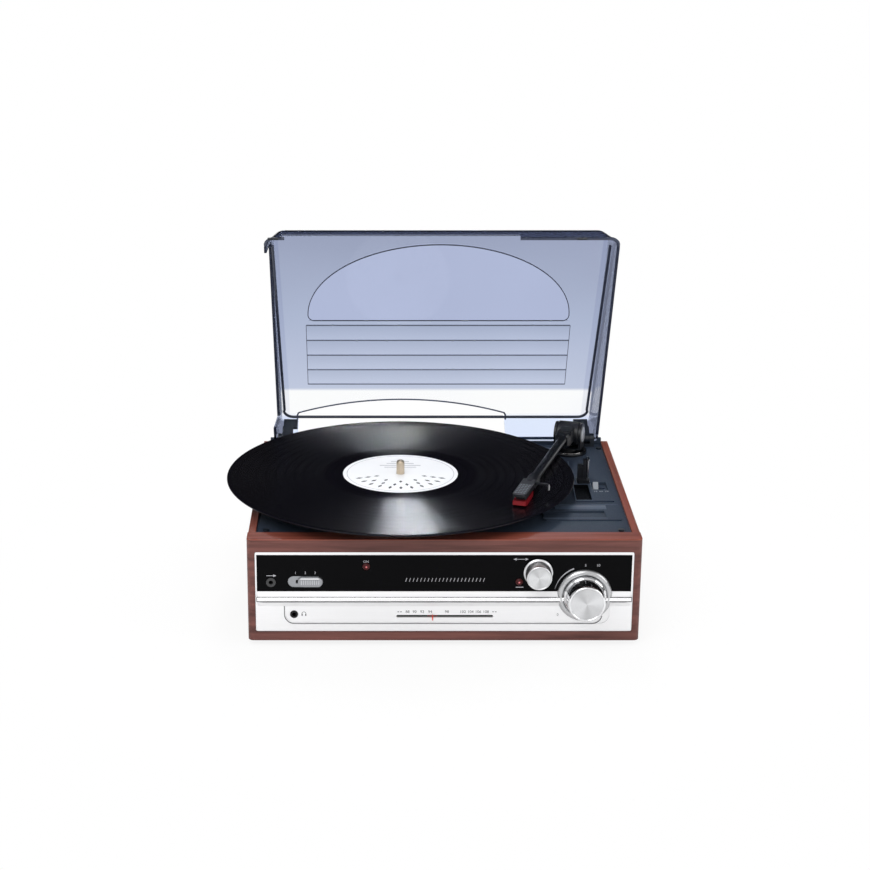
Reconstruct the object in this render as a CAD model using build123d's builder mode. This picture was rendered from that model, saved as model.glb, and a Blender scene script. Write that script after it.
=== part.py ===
from build123d import *
import math
import os

os.makedirs("parts", exist_ok=True)

# Stereo music centre: a compact turntable radio with its lid open and a record playing.
# X points right, Y to the rear and Z up. The origin is the centre of the underside of the
# base board, and the rubber feet stand below it. All lengths are in millimetres.

# ---------------------------------------------------------------- driving dimensions
# cabinet
cabinet_width = 322.0
cabinet_depth = 256.0
cabinet_height = 89.0
front_thickness = 17.0
side_thickness = 6.0
back_thickness = 5.0
base_thickness = 5.0
base_line_size = (200.0, 150.0)
base_line_width = 1.2
base_line_depth = 1.0
side_setback = 0.7
front_corner_radius = 4.5
edge_round = 0.6
window_side_margin = 6.4
window_top_margin = 11.0
window_bottom_margin = 8.2
window_corner_radius = 1.5
block_size = 16.0
foot_radius = 9.0
foot_height = 4.0
foot_inset_x = 31.0
foot_inset_y = 28.0
screw_shank_radius = 1.6
screw_head_radius = 2.6
screw_head_height = 1.6
screw_length = 16.0
screw_inset = 8.0
hole_clearance = 0.1
assembly_gap = 0.2
loose_gap = 0.3

# deck
deck_drop = 2.0
deck_thickness = 3.0
well_radius = 104.0
well_depth = 7.0
upstand_height = 6.0
upstand_thickness = 3.7
step_height = 1.0
tray_step = 1.2
tray_width = 65.0
tray_depth = 36.0
tray_inset = 36.8
tray_y = -61.5
step_inset = 5.8
step_front_y = -33.0
step_rear_y = 76.0
step_arc_insets = (38.8, 35.0, 31.3)
step_arc_y = 32.0
tray_slot_depth = 16.9
tray_slot_width = 50.0
tray_slot_shift = (-5.5, -5.0)
tray_slot_sink = 2.0
finger_recess_width = 13.6
finger_recess_length = 40.0
finger_recess_sink = 3.2
finger_recess_shift = 1.2
finger_recess_y = -11.0
selector_recess_width = 13.0
selector_recess_length = 20.0
selector_recess_sink = 2.5
selector_inset = 14.5
selector_y = 5.0
selector_travel = 7.0

# record, platter and drive
record_inset = 119.8
record_radius = 150.8
record_thickness = 1.8
record_hole_radius = 3.65
label_radius = 50.0
label_thickness = 0.15
record_height = 101.5
mat_radius = 97.0
mat_thickness = 2.4
platter_radius = 100.0
platter_height = 14.0
platter_wall = 3.0
drive_ring_radius = 60.0
drive_ring_height = 10.0
hub_radius = 12.0
spindle_radius = 3.0
spindle_tip_radius = 3.5
spindle_rise = 12.3
bearing_clearance = 0.05
bush_radius = 8.0
bush_depth = 20.0
spindle_foot = 56.0
pulley_offset = (-80.0, 28.0)
pulley_radius = 8.0
pulley_height = 9.0
belt_thickness = 0.8
belt_height = 4.5
motor_radius = 17.0
motor_height = 26.0
motor_shaft_radius = 1.0

# tonearm
arm_inset_x = 32.3
arm_inset_y = 25.5
arm_angle = 17.4
arm_axis_height = 105.0
tube_height = 108.4
tube_radius = 3.9
collar_start = 143.0
shell_start = 158.0
shell_end = 200.0
stylus_reach = 194.0
barrel_radius = 11.2
barrel_length = 20.0
barrel_root = 21.0
root_block_width = 13.0
cheek_thickness = 2.2
cheek_radius = 10.4
pivot_pin_radius = 2.0
yoke_shaft_radius = 4.0
arm_base_radius = 16.5
arm_base_height = 3.0
arm_base_boss_radius = 8.0
arm_base_boss_height = 2.0
collar_radius = 5.4
shell_width = 11.6
shell_thickness = 2.0
shell_skirt = 2.6
shell_skirt_thickness = 1.2
cartridge_width = 8.6
cartridge_length = 18.0
cartridge_height = 4.6
stylus_body_width = 11.0
stylus_body_length = 27.0
stylus_body_height = 5.6
finger_reach = 12.0
rest_distance = 85.5
rest_width = 11.2
rest_length = 12.0
rest_offset = 4.6
rest_foot = 3.0
rest_wall = 2.6
clip_radius = 1.2

# lid and hinges
lid_open_angle = 62.7
lid_side_gap = 3.8
lid_depth = 244.0
lid_height = 30.5
lid_wall = 2.0
lid_side_draft = 6.0
lid_front_draft = 16.5
lid_corner_radius = 11.0
lid_rear_radius = 4.0
lid_edge_radius = 4.0
lid_rim_gap = 1.2
lid_rear_inset = 6.0
front_cut_half = 101.0
front_cut_height = 12.5
side_cut_half = 105.0
side_cut_height = 15.0
arch_offset = 2.5
arch_half = 96.5
arch_shoulder = 8.0
arch_crown = 25.5
arch_corner_radius = 3.0
relief_depth = 0.5
relief_width = 1.0
louvre_width = 237.0
louvre_first = 46.0
louvre_pitch = 18.2
louvre_count = 5
ellipse_half_width = 117.0
ellipse_base = 131.0
ellipse_rise = 82.0
ellipse_corner_radius = 7.0
hinge_axis_rise = 3.8
hinge_pin_radius = 1.5
hinge_radius = 4.4
hinge_width = 18.0
hinge_inset = 12.5
hinge_ear_width = 3.8
hinge_plate_height = 11.0
hinge_plate_width = 13.0
hinge_plate_thickness = 2.5
bumper_width = 9.0
bumper_inset_left = 8.0
bumper_inset_right = 32.5

# fascia
fascia_recess = 0.4
fascia_thickness = 3.0
fascia_border = 2.0
panel_bottom = 43.5
panel_top = 75.5
panel_thickness = 1.2
panel_recess = 0.4
nose_top = 38.8
nose_bottom = 34.0
nose_foot = 30.8
nose_proud = 2.0
bar_proud = 0.9
bar_sink = 1.2
bar_margin = 2.6
pan_inset_left = 23.7
pan_inset_right = 18.6
pan_bottom = 14.9
pan_radius = 8.2
pan_sink = 0.6
volume_inset = 39.5
volume_height = 40.2
volume_knob_radius = 17.5
volume_face_radius = 14.9
volume_knob_length = 19.5
collar_ring_inner = 18.3
collar_ring_outer = 21.4
collar_ring_height = 3.4
tuning_inset = 78.0
tuning_height = 60.3
tuning_skirt_radius = 11.9
tuning_body_radius = 10.7
tuning_face_radius = 9.8
tuning_skirt_length = 2.2
tuning_knob_length = 14.0
knob_gap = 0.5
knob_shaft_radius = 3.0
switch_inset = 41.2
switch_height = 51.75
switch_plate_width = 28.6
switch_plate_height = 9.7
switch_slider_width = 20.2
switch_slider_height = 8.6
switch_slider_proud = 1.6
switch_slot_height = 3.0
switch_travel = 7.4
power_light_inset = 90.8
power_light_height = 65.3
pilot_light_inset = 92.8
pilot_light_height = 51.7
light_radius = 1.5
light_proud = 0.7
headphone_inset = 31.6
headphone_height = 23.1
aux_inset = 13.0
aux_height = 51.3
jack_bore_radius = 1.8
jack_depth = 14.0
headphone_bushing_radius = 3.3
aux_bushing_radius = 3.9
dial_left = -39.0
dial_right = 40.5
dial_height = 21.3
dial_slot_height = 2.2
pointer_position = -9.25
pointer_width = 1.0
pointer_height = 4.8
pointer_stem_height = 1.1
carriage_width = 8.0
carriage_height = 6.0
rail_radius = 1.5
rail_overrun = 6.0

# inside the cabinet
board_thickness = 1.6
control_board_y = -112.6
control_board_margin = 2.0
pot_radius = 12.0
pot_depth = 10.0
tuner_size = (24.0, 20.0, 24.0)
main_board_size = (150.0, 90.0)
main_board_centre = (-30.0, 50.0)
standoff_height = 7.0
standoff_radius = 3.0
transformer_size = (50.0, 42.0, 38.0)
transformer_inset = 50.3
transformer_y = 70.0
speaker_radius = 28.0
speaker_depth = 20.0
speaker_y = -45.0
speaker_z = 44.0
grille_slot_count = 7
grille_slot_pitch = 6.0
grille_slot_width = 2.6
grille_slot_length = 44.0
inlet_width = 20.0
inlet_height = 12.0
inlet_depth = 18.0
inlet_z = 24.0

# ---------------------------------------------------------------- derived places
half_width = cabinet_width / 2
half_depth = cabinet_depth / 2
front_face = -half_depth
front_back = front_face + front_thickness
side_outer = half_width - side_setback
side_inner = side_outer - side_thickness
back_inner = half_depth - back_thickness
record_centre = (record_inset - side_inner, 0.0)
arm_pivot = (side_inner - arm_inset_x, half_depth - arm_inset_y)
tray_centre = (side_inner - tray_inset, tray_y)
selector_centre = (side_inner - selector_inset, selector_y)
transformer_centre = (side_inner - transformer_inset, transformer_y)
inlet_x = transformer_centre[0]
deck_top = cabinet_height - deck_drop
deck_bottom = deck_top - deck_thickness
well_floor_top = deck_top - well_depth
well_floor_bottom = well_floor_top - deck_thickness
upstand_front = half_depth - upstand_thickness
block_x = side_inner - block_size / 2
block_front_y = front_back + block_size / 2
block_rear_y = back_inner - block_size / 2
screw_x = side_inner - screw_inset
screw_front_y = front_back + screw_inset
deck_screw_rear_x = side_inner - screw_head_radius - 1.0
deck_screw_rear_y = back_inner - block_size + screw_head_radius + 1.5
platter_top = record_height - record_thickness - mat_thickness
platter_bottom = platter_top - platter_height
step_top = deck_top + step_height

lid_width = 2 * (side_inner - lid_side_gap)
hinge_centre_x = lid_width / 2 - hinge_inset
bumper_positions = (bumper_inset_left - lid_width / 2, lid_width / 2 - bumper_inset_right)
arch_centre_x = record_centre[0] + arch_offset
rim_height = cabinet_height + lid_rim_gap
hinge_y = half_depth - lid_rear_inset
hinge_z = rim_height + hinge_axis_rise
open_radians = math.radians(lid_open_angle)
lid_plane = Plane(
    origin=(0, hinge_y, hinge_z),
    x_dir=(1, 0, 0),
    z_dir=(0, math.sin(open_radians), math.cos(open_radians)),
)
lid_rim = -hinge_axis_rise
lid_crown = lid_rim + lid_height
lid_panel_inner = lid_crown - lid_wall

arm_radians = math.radians(arm_angle)
arm_plane = Plane(
    origin=(arm_pivot[0], arm_pivot[1], 0),
    x_dir=(math.cos(arm_radians), -math.sin(arm_radians), 0),
    z_dir=(0, 0, 1),
)

window_half = half_width - window_side_margin
volume_position = (window_half - volume_inset, volume_height)
tuning_position = (window_half - tuning_inset, tuning_height)
pilot_light_position = (window_half - pilot_light_inset, pilot_light_height)
power_light_position = (power_light_inset - window_half, power_light_height)
switch_position = (switch_inset - window_half, switch_height)
headphone_position = (headphone_inset - window_half, headphone_height)
aux_position = (aux_inset - window_half, aux_height)
pan_left = pan_inset_left - window_half
pan_right = window_half - pan_inset_right
window_top = cabinet_height - window_top_margin
window_bottom = window_bottom_margin
window_centre_z = (window_top + window_bottom) / 2
window_tall = window_top - window_bottom
fascia_front = front_face + fascia_recess
fascia_back = fascia_front + fascia_thickness
panel_front = fascia_front + panel_recess
panel_back = panel_front + panel_thickness
panel_half = window_half - fascia_border
nose_front = fascia_front - nose_proud
bar_front = nose_front - bar_proud
bar_back = nose_front + bar_sink
pan_front = fascia_front + pan_sink
control_back = control_board_y + board_thickness


def facing(y):
    """A plane across the cabinet at depth y that faces the viewer, with Z as its second axis."""
    return Plane(origin=(0, y, 0), x_dir=(1, 0, 0), z_dir=(0, -1, 0))


def level(z):
    """A horizontal plane at height z."""
    return Plane.XY.offset(z)


def lid_side(x):
    """A plane across the lid at x, whose axes are the closed lid's Y and Z from the hinge."""
    return Plane(origin=lid_plane.from_local_coords((x, 0, 0)), x_dir=lid_plane.y_dir, z_dir=(1, 0, 0))


def arm_side(x):
    """A plane along the tonearm, x to its right, whose axes run rearwards and up."""
    return Plane(origin=arm_plane.from_local_coords((x, 0, 0)), x_dir=arm_plane.y_dir, z_dir=arm_plane.x_dir)


def arm_end(reach):
    """A plane across the tonearm at a distance from its pivot, facing its head."""
    return Plane(
        origin=arm_plane.from_local_coords((0, -reach, 0)),
        x_dir=arm_plane.x_dir,
        z_dir=-arm_plane.y_dir,
    )


def save(piece, name):
    """Label a finished piece and write it."""
    piece.part.label = name
    export_step(piece.part, f"parts/{name}.step")


# ---------------------------------------------------------------- cabinet
with BuildPart() as cabinet_front:
    with BuildSketch(level(0)):
        with Locations((0, front_face + front_thickness / 2)):
            Rectangle(cabinet_width, front_thickness)
    extrude(amount=cabinet_height)
    fillet(cabinet_front.edges().filter_by(Axis.Z).group_by(Axis.Y)[0], front_corner_radius)
    fillet(cabinet_front.faces().sort_by(Axis.Y)[0].edges(), edge_round)
    with BuildSketch(facing(front_face)):
        with Locations((0, window_centre_z)):
            RectangleRounded(2 * window_half, window_tall, window_corner_radius)
    extrude(amount=-front_thickness, mode=Mode.SUBTRACT)
save(cabinet_front, "cabinet_front")

grille_span = grille_slot_pitch * (grille_slot_count - 1)
for side, side_name in ((-1, "cabinet_left"), (1, "cabinet_right")):
    with BuildPart() as cabinet_side:
        with BuildSketch(level(0)):
            with Locations((side * (side_outer - side_thickness / 2), (front_back + half_depth) / 2)):
                Rectangle(side_thickness, half_depth - front_back)
        extrude(amount=cabinet_height)
        with BuildSketch(Plane.YZ.offset(side * side_outer)):
            with Locations((speaker_y, speaker_z)):
                with GridLocations(0, grille_slot_pitch, 1, grille_slot_count):
                    SlotOverall(grille_slot_length, grille_slot_width)
        extrude(amount=-side * side_thickness, mode=Mode.SUBTRACT)
    save(cabinet_side, side_name)

with BuildPart() as cabinet_back:
    with BuildSketch(facing(half_depth)):
        with Locations((0, deck_bottom / 2)):
            Rectangle(2 * side_inner, deck_bottom)
        with Locations((inlet_x, inlet_z)):
            Rectangle(inlet_width, inlet_height, mode=Mode.SUBTRACT)
        with Locations((-inlet_x, speaker_z)):
            with GridLocations(0, grille_slot_pitch, 1, grille_slot_count):
                SlotOverall(grille_slot_length, grille_slot_width, mode=Mode.SUBTRACT)
    extrude(amount=back_thickness)
save(cabinet_back, "cabinet_back")

base_screw_points = [
    (sx * screw_x, y) for sx in (-1, 1) for y in (screw_front_y, back_inner - screw_inset)
]
with BuildPart() as cabinet_base:
    with BuildSketch(level(0)):
        with Locations((0, (front_back + back_inner) / 2)):
            Rectangle(2 * side_inner, back_inner - front_back)
        with Locations(*base_screw_points):
            Circle(screw_shank_radius + hole_clearance, mode=Mode.SUBTRACT)
    extrude(amount=base_thickness)
    with BuildSketch(level(0)):
        with Locations(*base_screw_points):
            Circle(screw_head_radius + hole_clearance)
    extrude(amount=screw_head_height, mode=Mode.SUBTRACT)
    # a shallow line round the middle of the underside
    with BuildSketch(level(0)):
        Rectangle(base_line_size[0] + 2 * base_line_width, base_line_size[1] + 2 * base_line_width)
        Rectangle(*base_line_size, mode=Mode.SUBTRACT)
    extrude(amount=base_line_depth, mode=Mode.SUBTRACT)
save(cabinet_base, "cabinet_base")

deck_screw_points = [(sx * screw_x, screw_front_y) for sx in (-1, 1)] + [
    (sx * deck_screw_rear_x, deck_screw_rear_y) for sx in (-1, 1)
]
with BuildPart() as corner_blocks:
    with BuildSketch(level(base_thickness)):
        with Locations(*[(sx * block_x, y) for sx in (-1, 1) for y in (block_front_y, block_rear_y)]):
            Rectangle(block_size, block_size)
    extrude(amount=deck_bottom - base_thickness)
    with BuildSketch(level(base_thickness)):
        with Locations(*base_screw_points):
            Circle(screw_shank_radius + hole_clearance)
    extrude(amount=screw_length, mode=Mode.SUBTRACT)
    with BuildSketch(level(deck_bottom)):
        with Locations(*deck_screw_points):
            Circle(screw_shank_radius + hole_clearance)
    extrude(amount=-screw_length, mode=Mode.SUBTRACT)
save(corner_blocks, "corner_blocks")

foot_points = [
    (sx * (half_width - foot_inset_x), sy * (half_depth - foot_inset_y))
    for sx in (-1, 1)
    for sy in (-1, 1)
]
with BuildPart() as feet:
    with BuildSketch(level(-foot_height)):
        with Locations(*foot_points):
            Circle(foot_radius)
    extrude(amount=foot_height)
    chamfer(feet.faces().group_by(Axis.Z)[0].edges(), foot_height / 4)
save(feet, "feet")

with BuildPart() as base_screws:
    with BuildSketch(level(0)):
        with Locations(*base_screw_points):
            Circle(screw_head_radius)
    extrude(amount=screw_head_height)
    with BuildSketch(level(screw_head_height)):
        with Locations(*base_screw_points):
            Circle(screw_shank_radius)
    extrude(amount=screw_length)
save(base_screws, "base_screws")

# ---------------------------------------------------------------- deck
hinge_points = [(-hinge_centre_x, hinge_y), (hinge_centre_x, hinge_y)]
rest_top = tube_height - tube_radius - loose_gap
selector_slot_width = 3.0
pulley_centre = (record_centre[0] + pulley_offset[0], record_centre[1] + pulley_offset[1])
with BuildPart() as deck_plate:
    with BuildSketch(level(deck_bottom)):
        with Locations((0, (front_back + half_depth) / 2)):
            Rectangle(2 * (side_inner - assembly_gap), half_depth - front_back - 2 * assembly_gap)
    extrude(amount=deck_thickness)
    with BuildSketch(level(well_floor_bottom)):
        with Locations(record_centre):
            Circle(well_radius + deck_thickness)
    extrude(amount=deck_bottom - well_floor_bottom)
    with BuildSketch(level(well_floor_top)):
        with Locations(record_centre):
            Circle(well_radius)
    extrude(amount=well_depth, mode=Mode.SUBTRACT)
    # rear upstand, with a gap for each hinge bracket
    with BuildSketch(level(deck_top)):
        with Locations((0, half_depth - upstand_thickness / 2)):
            Rectangle(2 * (side_inner - assembly_gap), upstand_thickness - 2 * assembly_gap)
        with Locations(*hinge_points):
            Rectangle(hinge_width + 2 * assembly_gap, cabinet_depth / 8, mode=Mode.SUBTRACT)
    extrude(amount=upstand_height)
    # raised control step, bounded by an arc beside the record
    with BuildSketch(level(deck_top)):
        with BuildLine():
            left_edge = ThreePointArc(
                (side_inner - step_arc_insets[0], step_front_y),
                (side_inner - step_arc_insets[1], step_arc_y),
                (side_inner - step_arc_insets[2], step_rear_y),
            )
            Polyline(
                left_edge @ 1,
                (side_inner - step_inset, step_rear_y),
                (side_inner - step_inset, step_front_y),
                left_edge @ 0,
            )
        make_face()
    extrude(amount=step_height)
    # front tray with a long shallow slot
    with BuildSketch(level(deck_top)):
        with Locations(tray_centre):
            RectangleRounded(tray_width, tray_depth, 2.0)
    extrude(amount=tray_step)
    with BuildSketch(level(deck_top + tray_step)):
        with Locations((tray_centre[0] + tray_slot_shift[0], tray_centre[1] + tray_slot_shift[1])):
            RectangleRounded(tray_slot_width, tray_slot_depth, 1.0)
    extrude(amount=-tray_slot_sink, mode=Mode.SUBTRACT)
    # finger recess under the parked tonearm, and the speed selector's recess and slot
    with BuildSketch(level(step_top)):
        with Locations((arm_pivot[0] + finger_recess_shift, finger_recess_y)):
            RectangleRounded(finger_recess_width, finger_recess_length, 2.0)
    extrude(amount=-finger_recess_sink, mode=Mode.SUBTRACT)
    with BuildSketch(level(step_top)):
        with Locations(selector_centre):
            RectangleRounded(selector_recess_width, selector_recess_length, 1.0)
    extrude(amount=-selector_recess_sink, mode=Mode.SUBTRACT)
    with BuildSketch(level(step_top)):
        with Locations(selector_centre):
            Rectangle(selector_slot_width + selector_travel, selector_slot_width)
        with Locations(arm_pivot):
            Circle(arm_base_boss_radius - 2 + hole_clearance)
        with Locations(*deck_screw_points):
            Circle(screw_shank_radius + hole_clearance)
    extrude(amount=-deck_thickness - step_height, mode=Mode.SUBTRACT)
    with BuildSketch(level(well_floor_top)):
        with Locations(record_centre):
            Circle(bush_radius + hole_clearance)
        with Locations(pulley_centre):
            Circle(pulley_radius + 1.0)
    extrude(amount=-deck_thickness, mode=Mode.SUBTRACT)
save(deck_plate, "deck_plate")

with BuildPart() as deck_screws:
    with BuildSketch(level(deck_top)):
        with Locations(*deck_screw_points):
            Circle(screw_head_radius)
    extrude(amount=screw_head_height)
    with BuildSketch(level(deck_top)):
        with Locations(*deck_screw_points):
            Circle(screw_shank_radius)
    extrude(amount=-screw_length)
save(deck_screws, "deck_screws")

# ---------------------------------------------------------------- platter and drive
with BuildPart() as bearing_bush:
    with BuildSketch(level(well_floor_top + 1.5)):
        with Locations(record_centre):
            Circle(bush_radius)
    extrude(amount=-bush_depth - 1.5)
    with BuildSketch(level(well_floor_bottom)):
        with Locations(record_centre):
            Circle(bush_radius + 5.0)
    extrude(amount=-2.0)
    with BuildSketch(level(well_floor_top + 1.5)):
        with Locations(record_centre):
            Circle(spindle_radius + bearing_clearance)
    extrude(amount=-bush_depth, mode=Mode.SUBTRACT)
save(bearing_bush, "bearing_bush")
bush_floor = well_floor_top + 1.5 - bush_depth

with BuildPart() as platter:
    with BuildSketch(level(platter_bottom)):
        with Locations(record_centre):
            Circle(platter_radius)
    extrude(amount=platter_height)
    fillet(platter.edges().group_by(Axis.Z)[-1], 1.5)
    with BuildSketch(level(platter_bottom)):
        with Locations(record_centre):
            Circle(platter_radius - platter_wall)
    extrude(amount=platter_height - platter_wall, mode=Mode.SUBTRACT)
    with BuildSketch(level(platter_top - platter_wall)):
        with Locations(record_centre):
            Circle(drive_ring_radius)
            Circle(drive_ring_radius - platter_wall, mode=Mode.SUBTRACT)
    extrude(amount=-drive_ring_height)
    with BuildSketch(level(platter_top - platter_wall)):
        with Locations(record_centre):
            Circle(hub_radius)
    extrude(amount=-drive_ring_height)
    with BuildSketch(level(platter_top)):
        with Locations(record_centre):
            Circle(spindle_radius)
    extrude(amount=-platter_height, mode=Mode.SUBTRACT)
save(platter, "platter")

with BuildPart() as platter_mat:
    with BuildSketch(level(platter_top)):
        with Locations(record_centre):
            Circle(mat_radius)
            Circle(record_hole_radius, mode=Mode.SUBTRACT)
    extrude(amount=mat_thickness)
save(platter_mat, "platter_mat")

with BuildPart() as record:
    with BuildSketch(level(record_height)):
        with Locations(record_centre):
            Circle(record_radius)
            Circle(record_hole_radius, mode=Mode.SUBTRACT)
    extrude(amount=-record_thickness)
    chamfer(record.faces().group_by(Axis.Z)[-1].edges().sort_by(SortBy.LENGTH)[-1], 0.5)
    chamfer(record.faces().group_by(Axis.Z)[0].edges().sort_by(SortBy.LENGTH)[-1], 0.5)
save(record, "record")

with BuildPart() as record_label:
    with BuildSketch(level(record_height)):
        with Locations(record_centre):
            Circle(label_radius)
            Circle(record_hole_radius, mode=Mode.SUBTRACT)
    extrude(amount=label_thickness)
save(record_label, "record_label")

with BuildPart() as spindle:
    with BuildSketch(level(bush_floor + loose_gap)):
        with Locations(record_centre):
            Circle(spindle_radius)
    extrude(amount=record_height + label_thickness - bush_floor - loose_gap)
    with BuildSketch(level(record_height + label_thickness)):
        with Locations(record_centre):
            Circle(spindle_tip_radius)
    extrude(amount=spindle_rise)
    fillet(spindle.edges().group_by(Axis.Z)[-1], spindle_tip_radius * 0.8)
save(spindle, "spindle")

pulley_bottom = platter_top - platter_wall - drive_ring_height + 0.5
belt_middle = pulley_bottom + pulley_height / 2
with BuildPart() as motor:
    with BuildSketch(level(well_floor_bottom)):
        with Locations(pulley_centre):
            Circle(motor_radius)
    extrude(amount=-motor_height)
    fillet(motor.edges().group_by(Axis.Z)[0], 2.0)
    with BuildSketch(level(well_floor_bottom)):
        with Locations(pulley_centre):
            Circle(motor_shaft_radius)
    extrude(amount=pulley_bottom + pulley_height - well_floor_bottom)
save(motor, "motor")

with BuildPart() as motor_pulley:
    with BuildSketch(level(pulley_bottom)):
        with Locations(pulley_centre):
            Circle(pulley_radius + 0.8)
    extrude(amount=pulley_height)
    with BuildSketch(level(belt_middle - belt_height / 2 - loose_gap)):
        with Locations(pulley_centre):
            Circle(pulley_radius + 1.0)
            Circle(pulley_radius, mode=Mode.SUBTRACT)
    extrude(amount=belt_height + 2 * loose_gap, mode=Mode.SUBTRACT)
    with BuildSketch(level(pulley_bottom)):
        with Locations(pulley_centre):
            Circle(motor_shaft_radius + bearing_clearance)
    extrude(amount=pulley_height, mode=Mode.SUBTRACT)
save(motor_pulley, "motor_pulley")


def belt_loop(gap):
    """The outline around the drive ring and the pulley, at a gap outside both."""
    big = drive_ring_radius + gap
    small = pulley_radius + gap
    span = math.hypot(*pulley_offset)
    lean = math.degrees(math.asin((big - small) / span))
    heading = math.degrees(math.atan2(pulley_offset[1], pulley_offset[0]))
    upper, lower = heading + 90 - lean, heading - 90 + lean

    def point(centre, radius, degrees):
        return (
            centre[0] + radius * math.cos(math.radians(degrees)),
            centre[1] + radius * math.sin(math.radians(degrees)),
        )

    with BuildLine() as loop:
        around_ring = ThreePointArc(
            point(record_centre, big, upper),
            point(record_centre, big, heading + 180),
            point(record_centre, big, lower),
        )
        around_pulley = ThreePointArc(
            point(pulley_centre, small, lower),
            point(pulley_centre, small, heading),
            point(pulley_centre, small, upper),
        )
        Line(around_ring @ 1, around_pulley @ 0)
        Line(around_pulley @ 1, around_ring @ 0)
    return loop.line


belt_outside = belt_loop(loose_gap + belt_thickness)
belt_inside = belt_loop(loose_gap)
with BuildPart() as drive_belt:
    with BuildSketch(level(belt_middle - belt_height / 2)):
        with BuildLine():
            add(belt_outside)
        make_face()
        with BuildLine(mode=Mode.PRIVATE) as hollow:
            add(belt_inside)
        make_face(hollow.edges(), mode=Mode.SUBTRACT)
    extrude(amount=belt_height)
save(drive_belt, "drive_belt")

# ---------------------------------------------------------------- tonearm
arm_base_top = deck_top + arm_base_height
boss_top = arm_base_top + arm_base_boss_height
yoke_floor = boss_top + loose_gap
yoke_top = arm_axis_height - barrel_radius - loose_gap
cheek_inner = barrel_length / 2 + loose_gap
cheek_outer = cheek_inner + cheek_thickness
yoke_shaft_foot = deck_bottom - 12.0
with BuildPart() as arm_base:
    with BuildSketch(level(deck_top)):
        with Locations(arm_pivot):
            Circle(arm_base_radius)
    extrude(amount=arm_base_height)
    fillet(arm_base.edges().group_by(Axis.Z)[-1], 1.4)
    with BuildSketch(level(arm_base_top)):
        with Locations(arm_pivot):
            Circle(arm_base_boss_radius)
    extrude(amount=arm_base_boss_height)
    with BuildSketch(level(deck_top)):
        with Locations(arm_pivot):
            Circle(arm_base_boss_radius - 2)
    extrude(amount=yoke_shaft_foot - deck_top)
    with BuildSketch(level(boss_top)):
        with Locations(arm_pivot):
            Circle(yoke_shaft_radius + bearing_clearance)
    extrude(amount=yoke_shaft_foot - boss_top, mode=Mode.SUBTRACT)
save(arm_base, "arm_base")

with BuildPart() as arm_yoke:
    with BuildSketch(level(yoke_shaft_foot)):
        with Locations(arm_pivot):
            Circle(yoke_shaft_radius)
    extrude(amount=yoke_floor - yoke_shaft_foot)
    with BuildSketch(arm_plane.offset(yoke_floor)):
        RectangleRounded(2 * cheek_outer, 2 * cheek_radius - 3.0, 3.0)
    extrude(amount=yoke_top - yoke_floor)
    for side in (-1, 1):
        with BuildSketch(arm_side(side * cheek_inner)):
            with Locations((0, arm_axis_height)):
                Circle(cheek_radius)
            with Locations((0, (yoke_floor + arm_axis_height) / 2)):
                Rectangle(2 * cheek_radius - 4.0, arm_axis_height - yoke_floor)
        extrude(amount=side * cheek_thickness)
    with BuildSketch(arm_side(-cheek_outer)):
        with Locations((0, arm_axis_height)):
            Circle(pivot_pin_radius)
    extrude(amount=2 * cheek_outer)
save(arm_yoke, "arm_yoke")

with BuildPart() as arm_barrel:
    with BuildSketch(arm_side(-barrel_length / 2)):
        with Locations((0, arm_axis_height)):
            Circle(barrel_radius)
    extrude(amount=barrel_length)
    fillet(arm_barrel.edges().filter_by(GeomType.CIRCLE), 1.0)
    with BuildSketch(arm_end(0)):
        with Locations((0, tube_height)):
            RectangleRounded(root_block_width, 2 * tube_radius + 3.0, 1.5)
    extrude(amount=barrel_root)
    with BuildSketch(arm_end(barrel_root)):
        with Locations((0, tube_height)):
            Circle(tube_radius)
    extrude(amount=-4.0, mode=Mode.SUBTRACT)
    with BuildSketch(arm_side(-barrel_length / 2)):
        with Locations((0, arm_axis_height)):
            Circle(pivot_pin_radius + bearing_clearance)
    extrude(amount=barrel_length, mode=Mode.SUBTRACT)
save(arm_barrel, "arm_barrel")

with BuildPart() as arm_tube:
    with BuildSketch(arm_end(barrel_root - 4.0)):
        with Locations((0, tube_height)):
            Circle(tube_radius)
    extrude(amount=shell_start - barrel_root + 4.0)
save(arm_tube, "arm_tube")

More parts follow.
